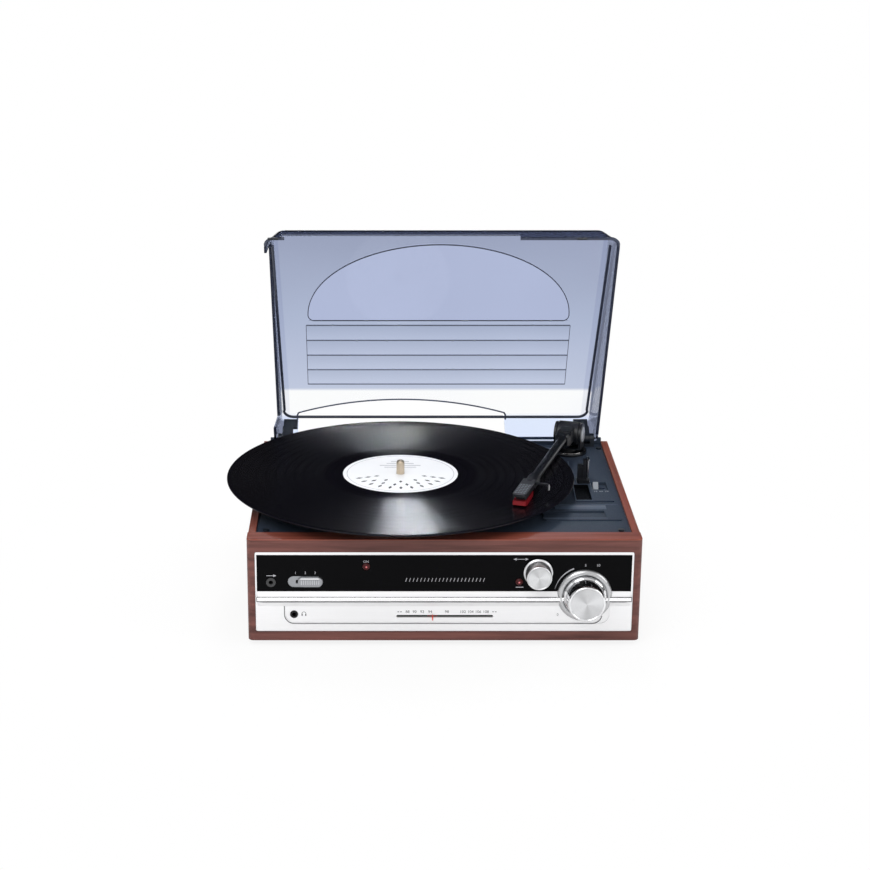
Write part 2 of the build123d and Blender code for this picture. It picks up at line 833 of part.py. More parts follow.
shell_top = tube_height + tube_radius + shell_thickness - 1.0
shell_under = shell_top - shell_thickness
with BuildPart() as headshell:
    with BuildSketch(arm_end(collar_start)):
        with Locations((0, tube_height)):
            Circle(collar_radius)
    extrude(amount=shell_start + 4.0 - collar_start)
    with BuildSketch(arm_end(collar_start)):
        with Locations((0, tube_height)):
            Circle(tube_radius)
    extrude(amount=shell_start - collar_start, mode=Mode.SUBTRACT)
    with BuildSketch(arm_plane.offset(shell_under)):
        with BuildLine():
            Polyline(
                (-shell_width / 2, -shell_start),
                (-shell_width / 2, -shell_end + 2.0),
                (-shell_width / 2 + 2.0, -shell_end),
                (shell_width / 2 - 2.0, -shell_end),
                (shell_width / 2, -shell_end + 2.0),
                (shell_width / 2, -shell_start),
                close=True,
            )
        make_face()
    extrude(amount=shell_thickness)
    with BuildSketch(arm_plane.offset(shell_under)):
        for side in (-1, 1):
            with Locations((side * (shell_width - shell_skirt_thickness) / 2, -(shell_start + shell_end) / 2)):
                Rectangle(shell_skirt_thickness, shell_end - shell_start - 6.0)
    extrude(amount=-shell_skirt)
    # finger lift: a bar to the right that drops at its tip
    with BuildSketch(arm_end(shell_start + 6.0)):
        with BuildLine():
            Polyline(
                (shell_width / 2 - 1.0, shell_top),
                (shell_width / 2 + finger_reach - 1.2, shell_top),
                (shell_width / 2 + finger_reach, shell_top - 1.2),
                (shell_width / 2 + finger_reach, shell_top - 6.0),
                (shell_width / 2 + finger_reach - 1.2, shell_top - 6.0),
                (shell_width / 2 + finger_reach - 1.2, shell_top - 1.4),
                (shell_width / 2 - 1.0, shell_top - 1.4),
                close=True,
            )
        make_face()
    extrude(amount=3.0)
save(headshell, "headshell")

cartridge_bottom = shell_under - cartridge_height
with BuildPart() as cartridge:
    with BuildSketch(arm_plane.offset(cartridge_bottom)):
        with Locations((0, -stylus_reach + cartridge_length / 2 + 2.0)):
            RectangleRounded(cartridge_width, cartridge_length, 0.8)
    extrude(amount=cartridge_height)
save(cartridge, "cartridge")

stylus_tip_height = record_height + loose_gap
stylus_bottom = cartridge_bottom - stylus_body_height
stylus_front = stylus_reach + 3.0
with BuildPart() as stylus:
    with BuildSketch(arm_side(-stylus_body_width / 2)):
        with BuildLine():
            Polyline(
                (-stylus_front, cartridge_bottom),
                (-stylus_front - 1.0, cartridge_bottom - stylus_body_height * 0.6),
                (-stylus_front + 5.0, stylus_bottom + 0.6),
                (-stylus_front + stylus_body_length, stylus_bottom + 1.6),
                (-stylus_front + stylus_body_length, cartridge_bottom),
                close=True,
            )
        make_face()
    extrude(amount=stylus_body_width)
    with BuildSketch(arm_plane.offset(stylus_bottom + stylus_body_height / 2)):
        with Locations((0, -stylus_reach)):
            Circle(1.0)
    with BuildSketch(arm_plane.offset(stylus_tip_height)):
        with Locations((0, -stylus_reach)):
            Circle(0.25)
    loft()
save(stylus, "stylus")

rest_centre = (arm_pivot[0], arm_pivot[1] - rest_distance)
hook_inner = tube_radius + loose_gap + 0.2
with BuildPart() as arm_rest:
    with BuildSketch(level(step_top)):
        with Locations((rest_centre[0] + rest_offset, rest_centre[1])):
            RectangleRounded(rest_width, rest_length, 2.0)
    extrude(amount=rest_foot)
    with BuildSketch(level(step_top)):
        with Locations((rest_centre[0] + rest_offset / 2, rest_centre[1])):
            Rectangle(rest_width / 2, rest_length / 3)
    extrude(amount=rest_top - step_top)
    with BuildSketch(level(step_top)):
        with Locations((rest_centre[0] + hook_inner + rest_wall / 2, rest_centre[1])):
            Rectangle(rest_wall, rest_length / 2)
    extrude(amount=tube_height - step_top)
save(arm_rest, "arm_rest")

clip_x = rest_centre[0] + hook_inner + rest_wall + clip_radius
with BuildPart() as arm_clip:
    with BuildSketch(level(step_top + rest_foot)):
        with Locations((clip_x, rest_centre[1])):
            Circle(clip_radius)
    extrude(amount=tube_height + 2.0 - step_top - rest_foot)
    with BuildSketch(level(tube_height + 0.5)):
        with Locations((clip_x, rest_centre[1] - 2.5)):
            RectangleRounded(2 * clip_radius, 7.0, 1.0)
    extrude(amount=1.5)
save(arm_clip, "arm_clip")

selector_knob_floor = step_top - selector_recess_sink + loose_gap
selector_start = (selector_centre[0] - selector_travel / 2, selector_centre[1])
speed_body_height = 8.0
with BuildPart() as speed_knob:
    with BuildSketch(level(selector_knob_floor)):
        with Locations(selector_start):
            Rectangle(4.6, 9.0)
    extrude(amount=1.2)
    with BuildSketch(Plane(origin=(selector_start[0] - 2.3, 0, 0), x_dir=(0, 1, 0), z_dir=(1, 0, 0))):
        with BuildLine():
            Polyline(
                (selector_start[1] - 4.0, selector_knob_floor + 1.0),
                (selector_start[1] + 4.0, selector_knob_floor + 1.0),
                (selector_start[1], selector_knob_floor + 6.0),
                close=True,
            )
        make_face()
    extrude(amount=4.6)
    with BuildSketch(level(selector_knob_floor)):
        with Locations(selector_start):
            Rectangle(selector_slot_width - 2 * loose_gap, selector_slot_width - 2 * loose_gap)
    extrude(amount=deck_bottom - selector_knob_floor - 3.0)
save(speed_knob, "speed_knob")

with BuildPart() as speed_switch:
    with BuildSketch(level(deck_bottom)):
        with Locations(selector_centre):
            Rectangle(selector_travel + 14.0, 12.0)
    extrude(amount=-speed_body_height)
    with BuildSketch(level(deck_bottom)):
        with Locations(selector_centre):
            Rectangle(selector_slot_width + selector_travel, selector_slot_width)
    extrude(amount=-4.0, mode=Mode.SUBTRACT)
save(speed_switch, "speed_switch")

# ---------------------------------------------------------------- lid and hinges
hinge_cut = hinge_radius + loose_gap


def panel_y(depth):
    """A place on the lid's panel, as far forward of the hinge as depth."""
    return -depth


def lid_outline(height, inset):
    """The lid's outline at a height, wider corners to the front, inset by a wall."""
    rise = (height - lid_rim) / lid_height
    width = lid_width - 2 * lid_side_draft * rise - 2 * inset
    depth = lid_depth - lid_front_draft * rise - 2 * inset
    with BuildSketch(lid_plane.offset(height)) as outline:
        with Locations((0, -inset - depth / 2)):
            Rectangle(width, depth)
        fillet(vertices().group_by(Axis.Y)[0], lid_corner_radius - inset)
        fillet(vertices().group_by(Axis.Y)[-1], lid_rear_radius - inset)
    return outline.sketch


with BuildPart() as lid_core:
    loft([lid_outline(lid_rim - lid_wall, lid_wall), lid_outline(lid_panel_inner, lid_wall)])
    lid_axis = Axis(lid_plane.origin, lid_plane.z_dir)
    fillet(lid_core.faces().sort_by(lid_axis)[-1].edges(), lid_edge_radius - lid_wall)

with BuildPart() as lid:
    loft([lid_outline(lid_rim, 0.0), lid_outline(lid_crown, 0.0)])
    fillet(lid.faces().sort_by(lid_axis)[-1].edges(), lid_edge_radius)
    add(lid_core.part, mode=Mode.SUBTRACT)
    # cut-outs in the front wall and the left wall, where the record passes
    with BuildSketch(lid_plane.offset(lid_rim - lid_wall)):
        with Locations((record_centre[0], -lid_depth)):
            Rectangle(2 * front_cut_half, lid_depth / 2)
    extrude(amount=front_cut_height + lid_wall, mode=Mode.SUBTRACT)
    with BuildSketch(lid_plane.offset(lid_rim - lid_wall)):
        with Locations((-lid_width / 2, record_centre[1] - hinge_y)):
            Rectangle(lid_width / 4, 2 * side_cut_half)
    extrude(amount=side_cut_height + lid_wall, mode=Mode.SUBTRACT)
    # arched cut-out through the rear wall and into the panel
    with BuildSketch(lid_plane.offset(lid_rim - lid_wall)):
        with BuildLine():
            arch = ThreePointArc(
                (arch_centre_x - arch_half, panel_y(arch_shoulder)),
                (arch_centre_x, panel_y(arch_crown)),
                (arch_centre_x + arch_half, panel_y(arch_shoulder)),
            )
            Polyline(
                arch @ 1,
                (arch_centre_x + arch_half, lid_wall),
                (arch_centre_x - arch_half, lid_wall),
                arch @ 0,
            )
        make_face()
        fillet(vertices().group_by(Axis.Y)[0], arch_corner_radius)
    extrude(amount=lid_height + 2 * lid_wall, mode=Mode.SUBTRACT)
    # notches for the hinge brackets
    with BuildSketch(lid_plane.offset(lid_rim - lid_wall)):
        with Locations((-hinge_centre_x, 0), (hinge_centre_x, 0)):
            Rectangle(hinge_width + 2 * assembly_gap, 8 * lid_wall)
    extrude(amount=hinge_axis_rise + hinge_cut + lid_wall, mode=Mode.SUBTRACT)
    # relief on the inside of the panel: louvre lines and a half ellipse
    with BuildSketch(lid_plane.offset(lid_panel_inner)):
        with Locations(
            *[(0, panel_y(louvre_first + louvre_pitch * i)) for i in range(louvre_count)]
        ):
            Rectangle(louvre_width, relief_width)
    extrude(amount=relief_depth, mode=Mode.SUBTRACT)
    with BuildSketch(lid_plane.offset(lid_panel_inner)):
        for shrink, mode in ((0, Mode.ADD), (relief_width, Mode.SUBTRACT)):
            with BuildLine():
                bow = EllipticalCenterArc(
                    (0, panel_y(ellipse_base)),
                    ellipse_half_width - shrink,
                    ellipse_rise - shrink,
                    start_angle=180,
                    arc_size=180,
                )
                Polyline(
                    bow @ 0,
                    (bow @ 0 + Vector(0, ellipse_corner_radius - shrink)),
                    (bow @ 1 + Vector(0, ellipse_corner_radius - shrink)),
                    bow @ 1,
                )
            make_face(mode=mode)
    extrude(amount=relief_depth, mode=Mode.SUBTRACT)
save(lid, "lid")

with BuildPart() as lid_bumpers:
    with BuildSketch(lid_plane.offset(lid_rim)):
        with Locations(*[(x, -lid_depth + lid_wall / 2) for x in bumper_positions]):
            Rectangle(bumper_width, lid_wall)
    extrude(amount=-(lid_rim_gap - assembly_gap))
save(lid_bumpers, "lid_bumpers")

plate_bottom = hinge_radius + 5.1
for side, side_name in ((-1, "left"), (1, "right")):
    knuckle_width = hinge_width - 2 * hinge_ear_width - 2 * loose_gap
    with BuildPart() as hinge_leaf:
        with BuildSketch(lid_side(side * hinge_centre_x - knuckle_width / 2)):
            Circle(hinge_radius)
            with BuildLine():
                Polyline(
                    (-lid_wall - hinge_plate_thickness, plate_bottom + 2.0),
                    (-lid_wall - hinge_plate_thickness, plate_bottom - 2.0),
                    (-hinge_radius + 0.4, 0.0),
                    (0.0, hinge_radius),
                    (-lid_wall, hinge_radius),
                    (-lid_wall, plate_bottom + 2.0),
                    close=True,
                )
            make_face()
            Circle(hinge_pin_radius + bearing_clearance, mode=Mode.SUBTRACT)
        extrude(amount=knuckle_width)
        with BuildSketch(lid_side(side * (hinge_centre_x - hinge_width / 2))):
            with Locations((-lid_wall - hinge_plate_thickness / 2, plate_bottom + hinge_plate_height / 2)):
                Rectangle(hinge_plate_thickness, hinge_plate_height)
        extrude(amount=side * hinge_plate_width)
    save(hinge_leaf, f"hinge_leaf_{side_name}")

    with BuildPart() as hinge_bracket:
        bracket_left = side * hinge_centre_x - hinge_width / 2
        with BuildSketch(level(deck_top)):
            with Locations((side * hinge_centre_x, hinge_y)):
                Rectangle(hinge_width, 2 * hinge_radius)
        extrude(amount=hinge_z - hinge_radius - loose_gap - deck_top)
        for ear_left in (bracket_left, bracket_left + hinge_width - hinge_ear_width):
            with BuildSketch(Plane(origin=(ear_left, 0, 0), x_dir=(0, 1, 0), z_dir=(1, 0, 0))):
                with Locations((hinge_y, hinge_z)):
                    Circle(hinge_radius)
                with Locations((hinge_y, (hinge_z + deck_top) / 2)):
                    Rectangle(2 * hinge_radius, hinge_z - deck_top)
                with Locations((hinge_y, hinge_z)):
                    Circle(hinge_pin_radius, mode=Mode.SUBTRACT)
            extrude(amount=hinge_ear_width)
    save(hinge_bracket, f"hinge_bracket_{side_name}")

with BuildPart() as hinge_pins:
    for side in (-1, 1):
        with BuildSketch(Plane.YZ.offset(side * hinge_centre_x - hinge_width / 2)):
            with Locations((hinge_y, hinge_z)):
                Circle(hinge_pin_radius)
        extrude(amount=hinge_width)
save(hinge_pins, "hinge_pins")

# ---------------------------------------------------------------- fascia
fascia_half = window_half - assembly_gap
dial_middle = (dial_left + dial_right) / 2
dial_width = dial_right - dial_left
with BuildPart() as fascia_frame:
    with BuildSketch(facing(fascia_back)):
        with Locations((0, window_centre_z)):
            RectangleRounded(2 * fascia_half, window_tall - 2 * assembly_gap, window_corner_radius)
    extrude(amount=fascia_thickness)
    # the nose across the middle, which carries the trim bar
    with BuildSketch(Plane.YZ.offset(-panel_half)):
        with BuildLine():
            Polyline(
                (fascia_front + 1.0, panel_bottom),
                (fascia_front, panel_bottom),
                (nose_front, nose_top),
                (nose_front, nose_bottom),
                (fascia_front, nose_foot),
                (fascia_front + 1.0, nose_foot),
                close=True,
            )
        make_face()
    extrude(amount=2 * panel_half)
    with BuildSketch(facing(fascia_front)):
        with Locations((0, (panel_bottom + panel_top) / 2)):
            Rectangle(2 * (panel_half + hole_clearance), panel_top - panel_bottom)
    extrude(amount=-(panel_back - fascia_front), mode=Mode.SUBTRACT)
    with BuildSketch(facing(bar_back)):
        with Locations((0, (nose_top + nose_bottom) / 2)):
            RectangleRounded(2 * (panel_half - bar_margin + hole_clearance), nose_top - nose_bottom - 1.0, 1.0)
    extrude(amount=bar_sink, mode=Mode.SUBTRACT)
    # shallow pan along the bottom, with rounded lower corners
    with BuildSketch(facing(fascia_front)):
        with Locations(((pan_left + pan_right) / 2, (pan_bottom + nose_foot) / 2)):
            Rectangle(pan_right - pan_left, nose_foot - pan_bottom)
        fillet(vertices().group_by(Axis.Y)[0], pan_radius)
    extrude(amount=-pan_sink, mode=Mode.SUBTRACT)
    # seat for the volume collar
    with BuildSketch(facing(panel_front)):
        with Locations(volume_position):
            Circle(collar_ring_outer + hole_clearance)
    extrude(amount=2 * nose_proud, mode=Mode.SUBTRACT)
    # openings for what passes through
    with BuildSketch(facing(fascia_back)):
        with Locations(volume_position, tuning_position):
            Circle(knob_shaft_radius + 1.0)
        with Locations(headphone_position):
            Circle(headphone_bushing_radius + hole_clearance)
        with Locations(aux_position):
            Circle(aux_bushing_radius + hole_clearance)
        with Locations(power_light_position, pilot_light_position):
            Circle(light_radius + hole_clearance)
        with Locations(switch_position):
            SlotOverall(switch_plate_width + 2 * hole_clearance, switch_plate_height + 2 * hole_clearance)
        with Locations((dial_middle, dial_height)):
            SlotOverall(dial_width, dial_slot_height)
    extrude(amount=fascia_thickness, mode=Mode.SUBTRACT)
save(fascia_frame, "fascia_frame")

with BuildPart() as fascia_panel:
    with BuildSketch(facing(panel_back)):
        with Locations((0, (panel_bottom + panel_top) / 2)):
            Rectangle(2 * panel_half, panel_top - panel_bottom - 2 * hole_clearance)
        with Locations(volume_position):
            Circle(collar_ring_inner - 3.0, mode=Mode.SUBTRACT)
        with Locations(tuning_position):
            Circle(knob_shaft_radius + 1.0, mode=Mode.SUBTRACT)
        with Locations(aux_position):
            Circle(aux_bushing_radius + hole_clearance, mode=Mode.SUBTRACT)
        with Locations(power_light_position, pilot_light_position):
            Circle(light_radius + hole_clearance, mode=Mode.SUBTRACT)
        with Locations(switch_position):
            SlotOverall(
                switch_plate_width + 2 * hole_clearance,
                switch_plate_height + 2 * hole_clearance,
                mode=Mode.SUBTRACT,
            )
    extrude(amount=panel_thickness)
save(fascia_panel, "fascia_panel")

with BuildPart() as trim_bar:
    with BuildSketch(facing(bar_back)):
        with Locations((0, (nose_top + nose_bottom) / 2)):
            RectangleRounded(2 * (panel_half - bar_margin), nose_top - nose_bottom - 1.0 - 2 * hole_clearance, 1.0)
        with Locations(volume_position):
            Circle(collar_ring_outer + loose_gap, mode=Mode.SUBTRACT)
    extrude(amount=bar_sink + bar_proud)
save(trim_bar, "trim_bar")

with BuildPart() as volume_collar:
    with BuildSketch(facing(panel_front)):
        with Locations(volume_position):
            Circle(collar_ring_outer)
            Circle(collar_ring_inner, mode=Mode.SUBTRACT)
    extrude(amount=collar_ring_height)
    fillet(volume_collar.faces().sort_by(Axis.Y)[0].edges(), 1.4)
    with BuildSketch(facing(panel_front)):
        with Locations(volume_position):
            Circle(collar_ring_outer)
            Circle(knob_shaft_radius + 1.0, mode=Mode.SUBTRACT)
    extrude(amount=0.8)
save(volume_collar, "volume_collar")

volume_knob_base = panel_front - 0.8 - knob_gap
volume_profile = [
    (knob_shaft_radius, 0.0),
    (volume_knob_radius, 0.0),
    (volume_knob_radius, 4.0),
    (volume_knob_radius - 1.2, 5.2),
    (volume_face_radius + 0.5, volume_knob_length - 1.0),
    (volume_face_radius, volume_knob_length),
    (0.0, volume_knob_length - 0.6),
    (0.0, -(control_back + pot_depth * 0.6 - volume_knob_base)),
    (knob_shaft_radius, -(control_back + pot_depth * 0.6 - volume_knob_base)),
]
tuning_knob_base = panel_front - knob_gap
tuning_profile = [
    (knob_shaft_radius, 0.0),
    (tuning_skirt_radius, 0.0),
    (tuning_skirt_radius, tuning_skirt_length * 0.7),
    (tuning_body_radius, tuning_skirt_length),
    (tuning_face_radius + 0.4, tuning_knob_length - 0.8),
    (tuning_face_radius, tuning_knob_length),
    (0.0, tuning_knob_length - 0.4),
    (0.0, -(control_back + tuner_size[1] * 0.5 - tuning_knob_base)),
    (knob_shaft_radius, -(control_back + tuner_size[1] * 0.5 - tuning_knob_base)),
]
for knob_name, knob_place, knob_base, profile in (
    ("volume_knob", volume_position, volume_knob_base, volume_profile),
    ("tuning_knob", tuning_position, tuning_knob_base, tuning_profile),
):
    # the profile's second axis runs from the knob's base towards the viewer
    with BuildPart() as knob:
        with BuildSketch(
            Plane(origin=(knob_place[0], knob_base, knob_place[1]), x_dir=(1, 0, 0), z_dir=(0, 0, -1))
        ):
            with BuildLine():
                Polyline(*profile, close=True)
            make_face()
        revolve(axis=Axis((knob_place[0], knob_base, knob_place[1]), (0, -1, 0)))
    save(knob, knob_name)

with BuildPart() as switch_plate:
    with BuildSketch(facing(fascia_back)):
        with Locations(switch_position):
            SlotOverall(switch_plate_width, switch_plate_height)
            Rectangle(switch_slider_width + switch_travel - 12.0, switch_slot_height, mode=Mode.SUBTRACT)
    extrude(amount=fascia_back - panel_front - 0.6)
save(switch_plate, "switch_plate")
switch_face = panel_front + 0.6

slider_x = switch_position[0] + (switch_plate_width - switch_slider_width) / 2 - 0.3
stem_width = 4.0
with BuildPart() as function_slider:
    with BuildSketch(facing(switch_face - loose_gap)):
        with Locations((slider_x, switch_position[1])):
            RectangleRounded(switch_slider_width, switch_slider_height, 4.0)
    extrude(amount=switch_slider_proud)
    fillet(function_slider.faces().sort_by(Axis.Y)[0].edges(), 0.6)
    with BuildSketch(facing(switch_face - loose_gap)):
        with Locations((slider_x, switch_position[1])):
            Rectangle(stem_width, switch_slot_height - 2 * loose_gap)
    extrude(amount=-(fascia_back + 3.0 - switch_face))
save(function_slider, "function_slider")

with BuildPart() as function_switch:
    with BuildSketch(facing(control_board_y)):
        with Locations(switch_position):
            Rectangle(switch_plate_width, switch_plate_height + 2.0)
    extrude(amount=control_board_y - fascia_back)
    with BuildSketch(facing(fascia_back)):
        with Locations(switch_position):
            Rectangle(switch_slider_width + switch_travel - 6.0, switch_slot_height)
    extrude(amount=-6.0, mode=Mode.SUBTRACT)
save(function_switch, "function_switch")

with BuildPart() as indicator_lights:
    with BuildSketch(facing(control_board_y)):
        with Locations(power_light_position, pilot_light_position):
            Circle(light_radius)
    extrude(amount=control_board_y - panel_front + light_proud)
    fillet(indicator_lights.faces().group_by(Axis.Y)[0].edges(), 0.6)
save(indicator_lights, "indicator_lights")

for jack_name, jack_place, bushing_radius, jack_front in (
    ("headphone_socket", headphone_position, headphone_bushing_radius, pan_front - 0.4),
    ("aux_socket", aux_position, aux_bushing_radius, panel_front - 0.4),
):
    with BuildPart() as jack:
        with BuildSketch(facing(jack_front)):
            with Locations(jack_place):
                Circle(bushing_radius)
        extrude(amount=-(fascia_back - jack_front))
        with BuildSketch(facing(fascia_back)):
            with Locations(jack_place):
                Rectangle(2 * bushing_radius + 2.0, 2 * bushing_radius + 2.0)
        extrude(amount=-(control_board_y - fascia_back))
        with BuildSketch(facing(jack_front)):
            with Locations(jack_place):
                Circle(jack_bore_radius)
        extrude(amount=-jack_depth, mode=Mode.SUBTRACT)
    save(jack, jack_name)

rail_y = fascia_back + 4.5
with BuildPart() as dial_backing:
    with BuildSketch(facing(fascia_back)):
        with Locations((dial_middle, dial_height)):
            Rectangle(dial_width + 8.0, dial_slot_height + 8.0)
            Rectangle(dial_width - 2.0, pointer_stem_height + 2 * loose_gap, mode=Mode.SUBTRACT)
    extrude(amount=-0.8)
save(dial_backing, "dial_backing")

with BuildPart() as pointer_rail:
    with BuildSketch(Plane.YZ.offset(dial_left - rail_overrun)):
        with Locations((rail_y, dial_height)):
            Circle(rail_radius)
    extrude(amount=dial_width + 2 * rail_overrun)
    with BuildSketch(facing(control_board_y)):
        with Locations((dial_left - rail_overrun, dial_height), (dial_right + rail_overrun, dial_height)):
            Rectangle(3.0, 4.0)
    extrude(amount=control_board_y - rail_y + rail_radius)
save(pointer_rail, "pointer_rail")

needle_back = fascia_front - loose_gap
with BuildPart() as dial_pointer:
    with BuildSketch(Plane.YZ.offset(pointer_position - carriage_width / 2)):
        with Locations((rail_y, dial_height)):
            Rectangle(2 * rail_radius + 2.6, carriage_height)
            Circle(rail_radius + bearing_clearance, mode=Mode.SUBTRACT)
    extrude(amount=carriage_width)
    with BuildSketch(facing(rail_y - rail_radius - 0.6)):
        with Locations((pointer_position, dial_height)):
            Rectangle(pointer_width, pointer_stem_height)
    extrude(amount=rail_y - rail_radius - 0.6 - needle_back)
    with BuildSketch(facing(needle_back)):
        with Locations((pointer_position, dial_height - 0.8)):
            Rectangle(pointer_width, pointer_height)
    extrude(amount=0.6)
save(dial_pointer, "dial_pointer")

# ---------------------------------------------------------------- inside the cabinet
with BuildPart() as control_board:
    with BuildSketch(facing(control_back)):
        with Locations((0, window_centre_z)):
            Rectangle(2 * (window_half - control_board_margin), window_tall - 2 * control_board_margin)
        with Locations(volume_position, tuning_position):
            Circle(knob_shaft_radius + 1.0, mode=Mode.SUBTRACT)
    extrude(amount=board_thickness)
save(control_board, "control_board")

with BuildPart() as volume_pot:
    with BuildSketch(facing(control_back)):
        with Locations(volume_position):
            Circle(pot_radius)
    extrude(amount=-pot_depth)
    with BuildSketch(facing(control_back)):
        with Locations(volume_position):
            Circle(knob_shaft_radius + bearing_clearance)
    extrude(amount=-pot_depth * 0.6 - loose_gap, mode=Mode.SUBTRACT)
save(volume_pot, "volume_pot")

with BuildPart() as tuning_capacitor:
    with BuildSketch(facing(control_back)):
        with Locations(tuning_position):
            Rectangle(tuner_size[0], tuner_size[2])
    extrude(amount=-tuner_size[1])
    with BuildSketch(facing(control_back)):
        with Locations(tuning_position):
            Circle(knob_shaft_radius + bearing_clearance)
    extrude(amount=-tuner_size[1] * 0.5 - loose_gap, mode=Mode.SUBTRACT)
save(tuning_capacitor, "tuning_capacitor")

board_bottom = base_thickness + standoff_height
with BuildPart() as main_board:
    with BuildSketch(level(board_bottom)):
        with Locations(main_board_centre):
            Rectangle(*main_board_size)
    extrude(amount=board_thickness)
    with BuildSketch(level(base_thickness)):
        with Locations(main_board_centre):
            with GridLocations(main_board_size[0] - 12.0, main_board_size[1] - 12.0, 2, 2):
                Circle(standoff_radius)
    extrude(amount=standoff_height)
    with BuildSketch(level(board_bottom + board_thickness)):
        with Locations(main_board_centre):
            with GridLocations(30.0, 24.0, 4, 2):
                Circle(5.0)
    extrude(amount=14.0)
save(main_board, "main_board")

with BuildPart() as transformer:
    with BuildSketch(level(base_thickness)):
        with Locations(transformer_centre):
            Rectangle(transformer_size[0], transformer_size[1])
    extrude(amount=transformer_size[2])
    chamfer(transformer.edges().filter_by(Axis.Z), 3.0)
save(transformer, "transformer")

for side, side_name in ((-1, "speaker_left"), (1, "speaker_right")):
    with BuildPart() as speaker:
        with BuildSketch(Plane.YZ.offset(side * side_inner)):
            with Locations((speaker_y, speaker_z)):
                Circle(speaker_radius)
        extrude(amount=-side * 3.0)
        with BuildSketch(Plane.YZ.offset(side * (side_inner - 3.0))):
            with Locations((speaker_y, speaker_z)):
                Circle(speaker_radius - 2.0)
        with BuildSketch(Plane.YZ.offset(side * (side_inner - speaker_depth * 0.6))):
            with Locations((speaker_y, speaker_z)):
                Circle(speaker_radius * 0.45)
        loft()
        with BuildSketch(Plane.YZ.offset(side * (side_inner - speaker_depth * 0.6))):
            with Locations((speaker_y, speaker_z)):
                Circle(speaker_radius * 0.55)
        extrude(amount=-side * speaker_depth * 0.4)
    save(speaker, side_name)

with BuildPart() as mains_inlet:
    with BuildSketch(facing(half_depth)):
        with Locations((inlet_x, inlet_z)):
            Rectangle(inlet_width - 2 * hole_clearance, inlet_height - 2 * hole_clearance)
    extrude(amount=inlet_depth)
    with BuildSketch(facing(half_depth)):
        with Locations((inlet_x, inlet_z)):
            SlotOverall(inlet_width - 6.0, inlet_height - 5.0)
    extrude(amount=inlet_depth - 4.0, mode=Mode.SUBTRACT)
    with BuildSketch(facing(half_depth)):
        with Locations((inlet_x - 3.0, inlet_z), (inlet_x + 3.0, inlet_z)):
            Circle(1.1)
    extrude(amount=inlet_depth - 2.0)
save(mains_inlet, "mains_inlet")
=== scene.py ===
"""Stereo music centre: a compact turntable radio with its lid open and a record playing.

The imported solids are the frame. This file gives them their finishes and adds the turned,
printed and moulded pieces that show. Lengths are metres, X right, Y to the rear and Z up.
"""

import math

import bmesh
import bpy
import numpy as np
from bpy.props import FloatProperty, FloatVectorProperty, IntProperty, PointerProperty
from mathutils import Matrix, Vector


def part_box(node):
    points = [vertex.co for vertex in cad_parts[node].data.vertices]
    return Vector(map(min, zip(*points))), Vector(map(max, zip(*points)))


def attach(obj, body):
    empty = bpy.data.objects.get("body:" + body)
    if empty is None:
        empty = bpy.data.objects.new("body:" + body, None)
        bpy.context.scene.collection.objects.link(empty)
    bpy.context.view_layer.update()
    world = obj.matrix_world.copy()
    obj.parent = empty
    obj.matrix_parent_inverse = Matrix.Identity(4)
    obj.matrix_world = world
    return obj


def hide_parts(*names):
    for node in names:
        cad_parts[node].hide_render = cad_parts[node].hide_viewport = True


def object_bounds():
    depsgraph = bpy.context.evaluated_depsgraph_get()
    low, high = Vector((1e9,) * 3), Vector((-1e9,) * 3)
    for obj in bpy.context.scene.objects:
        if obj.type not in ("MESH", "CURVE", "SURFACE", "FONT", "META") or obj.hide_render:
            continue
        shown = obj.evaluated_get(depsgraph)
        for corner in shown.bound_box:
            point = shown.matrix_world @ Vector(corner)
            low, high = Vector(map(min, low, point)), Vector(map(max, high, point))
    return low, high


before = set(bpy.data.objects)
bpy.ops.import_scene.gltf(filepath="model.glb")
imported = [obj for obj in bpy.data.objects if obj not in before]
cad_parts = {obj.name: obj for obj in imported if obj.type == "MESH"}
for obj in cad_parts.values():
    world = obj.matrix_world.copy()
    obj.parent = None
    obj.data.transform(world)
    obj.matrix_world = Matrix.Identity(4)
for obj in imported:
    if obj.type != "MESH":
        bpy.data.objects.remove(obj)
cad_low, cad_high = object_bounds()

bl_info = {
    "name": "Stereo music centre",
    "version": (1, 0, 0),
    "blender": (4, 5, 0),
    "location": "3D View > Sidebar > Music centre",
    "description": "Builds the finishes and turned pieces of a compact turntable radio",
    "category": "Object",
}

MM = 0.001
TURN = 2 * math.pi
ARM_ANGLE = math.radians(17.4)
LID_ANGLE = math.radians(62.7)
RIGHT, REAR, UP, FRONT = (1, 0, 0), (0, 1, 0), (0, 0, 1), (0, -1, 0)


def span(node):
    """A node's low and high corners as arrays."""
    low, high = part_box(node)
    return np.array(low), np.array(high)


def middle(node):
    """The centre of a node's box."""
    low, high = span(node)
    return (low + high) / 2


def arm_point(across, reach, height):
    """A place on the tonearm: across its axis, as far from its pivot as reach, at a height."""
    pivot = middle("arm_base")
    return np.array(
        [
            pivot[0] + across * math.cos(ARM_ANGLE) - reach * math.sin(ARM_ANGLE),
            pivot[1] - across * math.sin(ARM_ANGLE) - reach * math.cos(ARM_ANGLE),
            height,
        ]
    )


def lid_point(across, depth, height):
    """A place on the open lid: depth runs from its hinge to its front, height from its rim side."""
    hinge = middle("hinge_pins")
    return np.array(
        [
            across,
            hinge[1] - depth * math.cos(LID_ANGLE) + height * math.sin(LID_ANGLE),
            hinge[2] + depth * math.sin(LID_ANGLE) + height * math.cos(LID_ANGLE),
        ]
    )


LID_OUT = (0, math.sin(LID_ANGLE), math.cos(LID_ANGLE))


# ---------------------------------------------------------------- surfaces


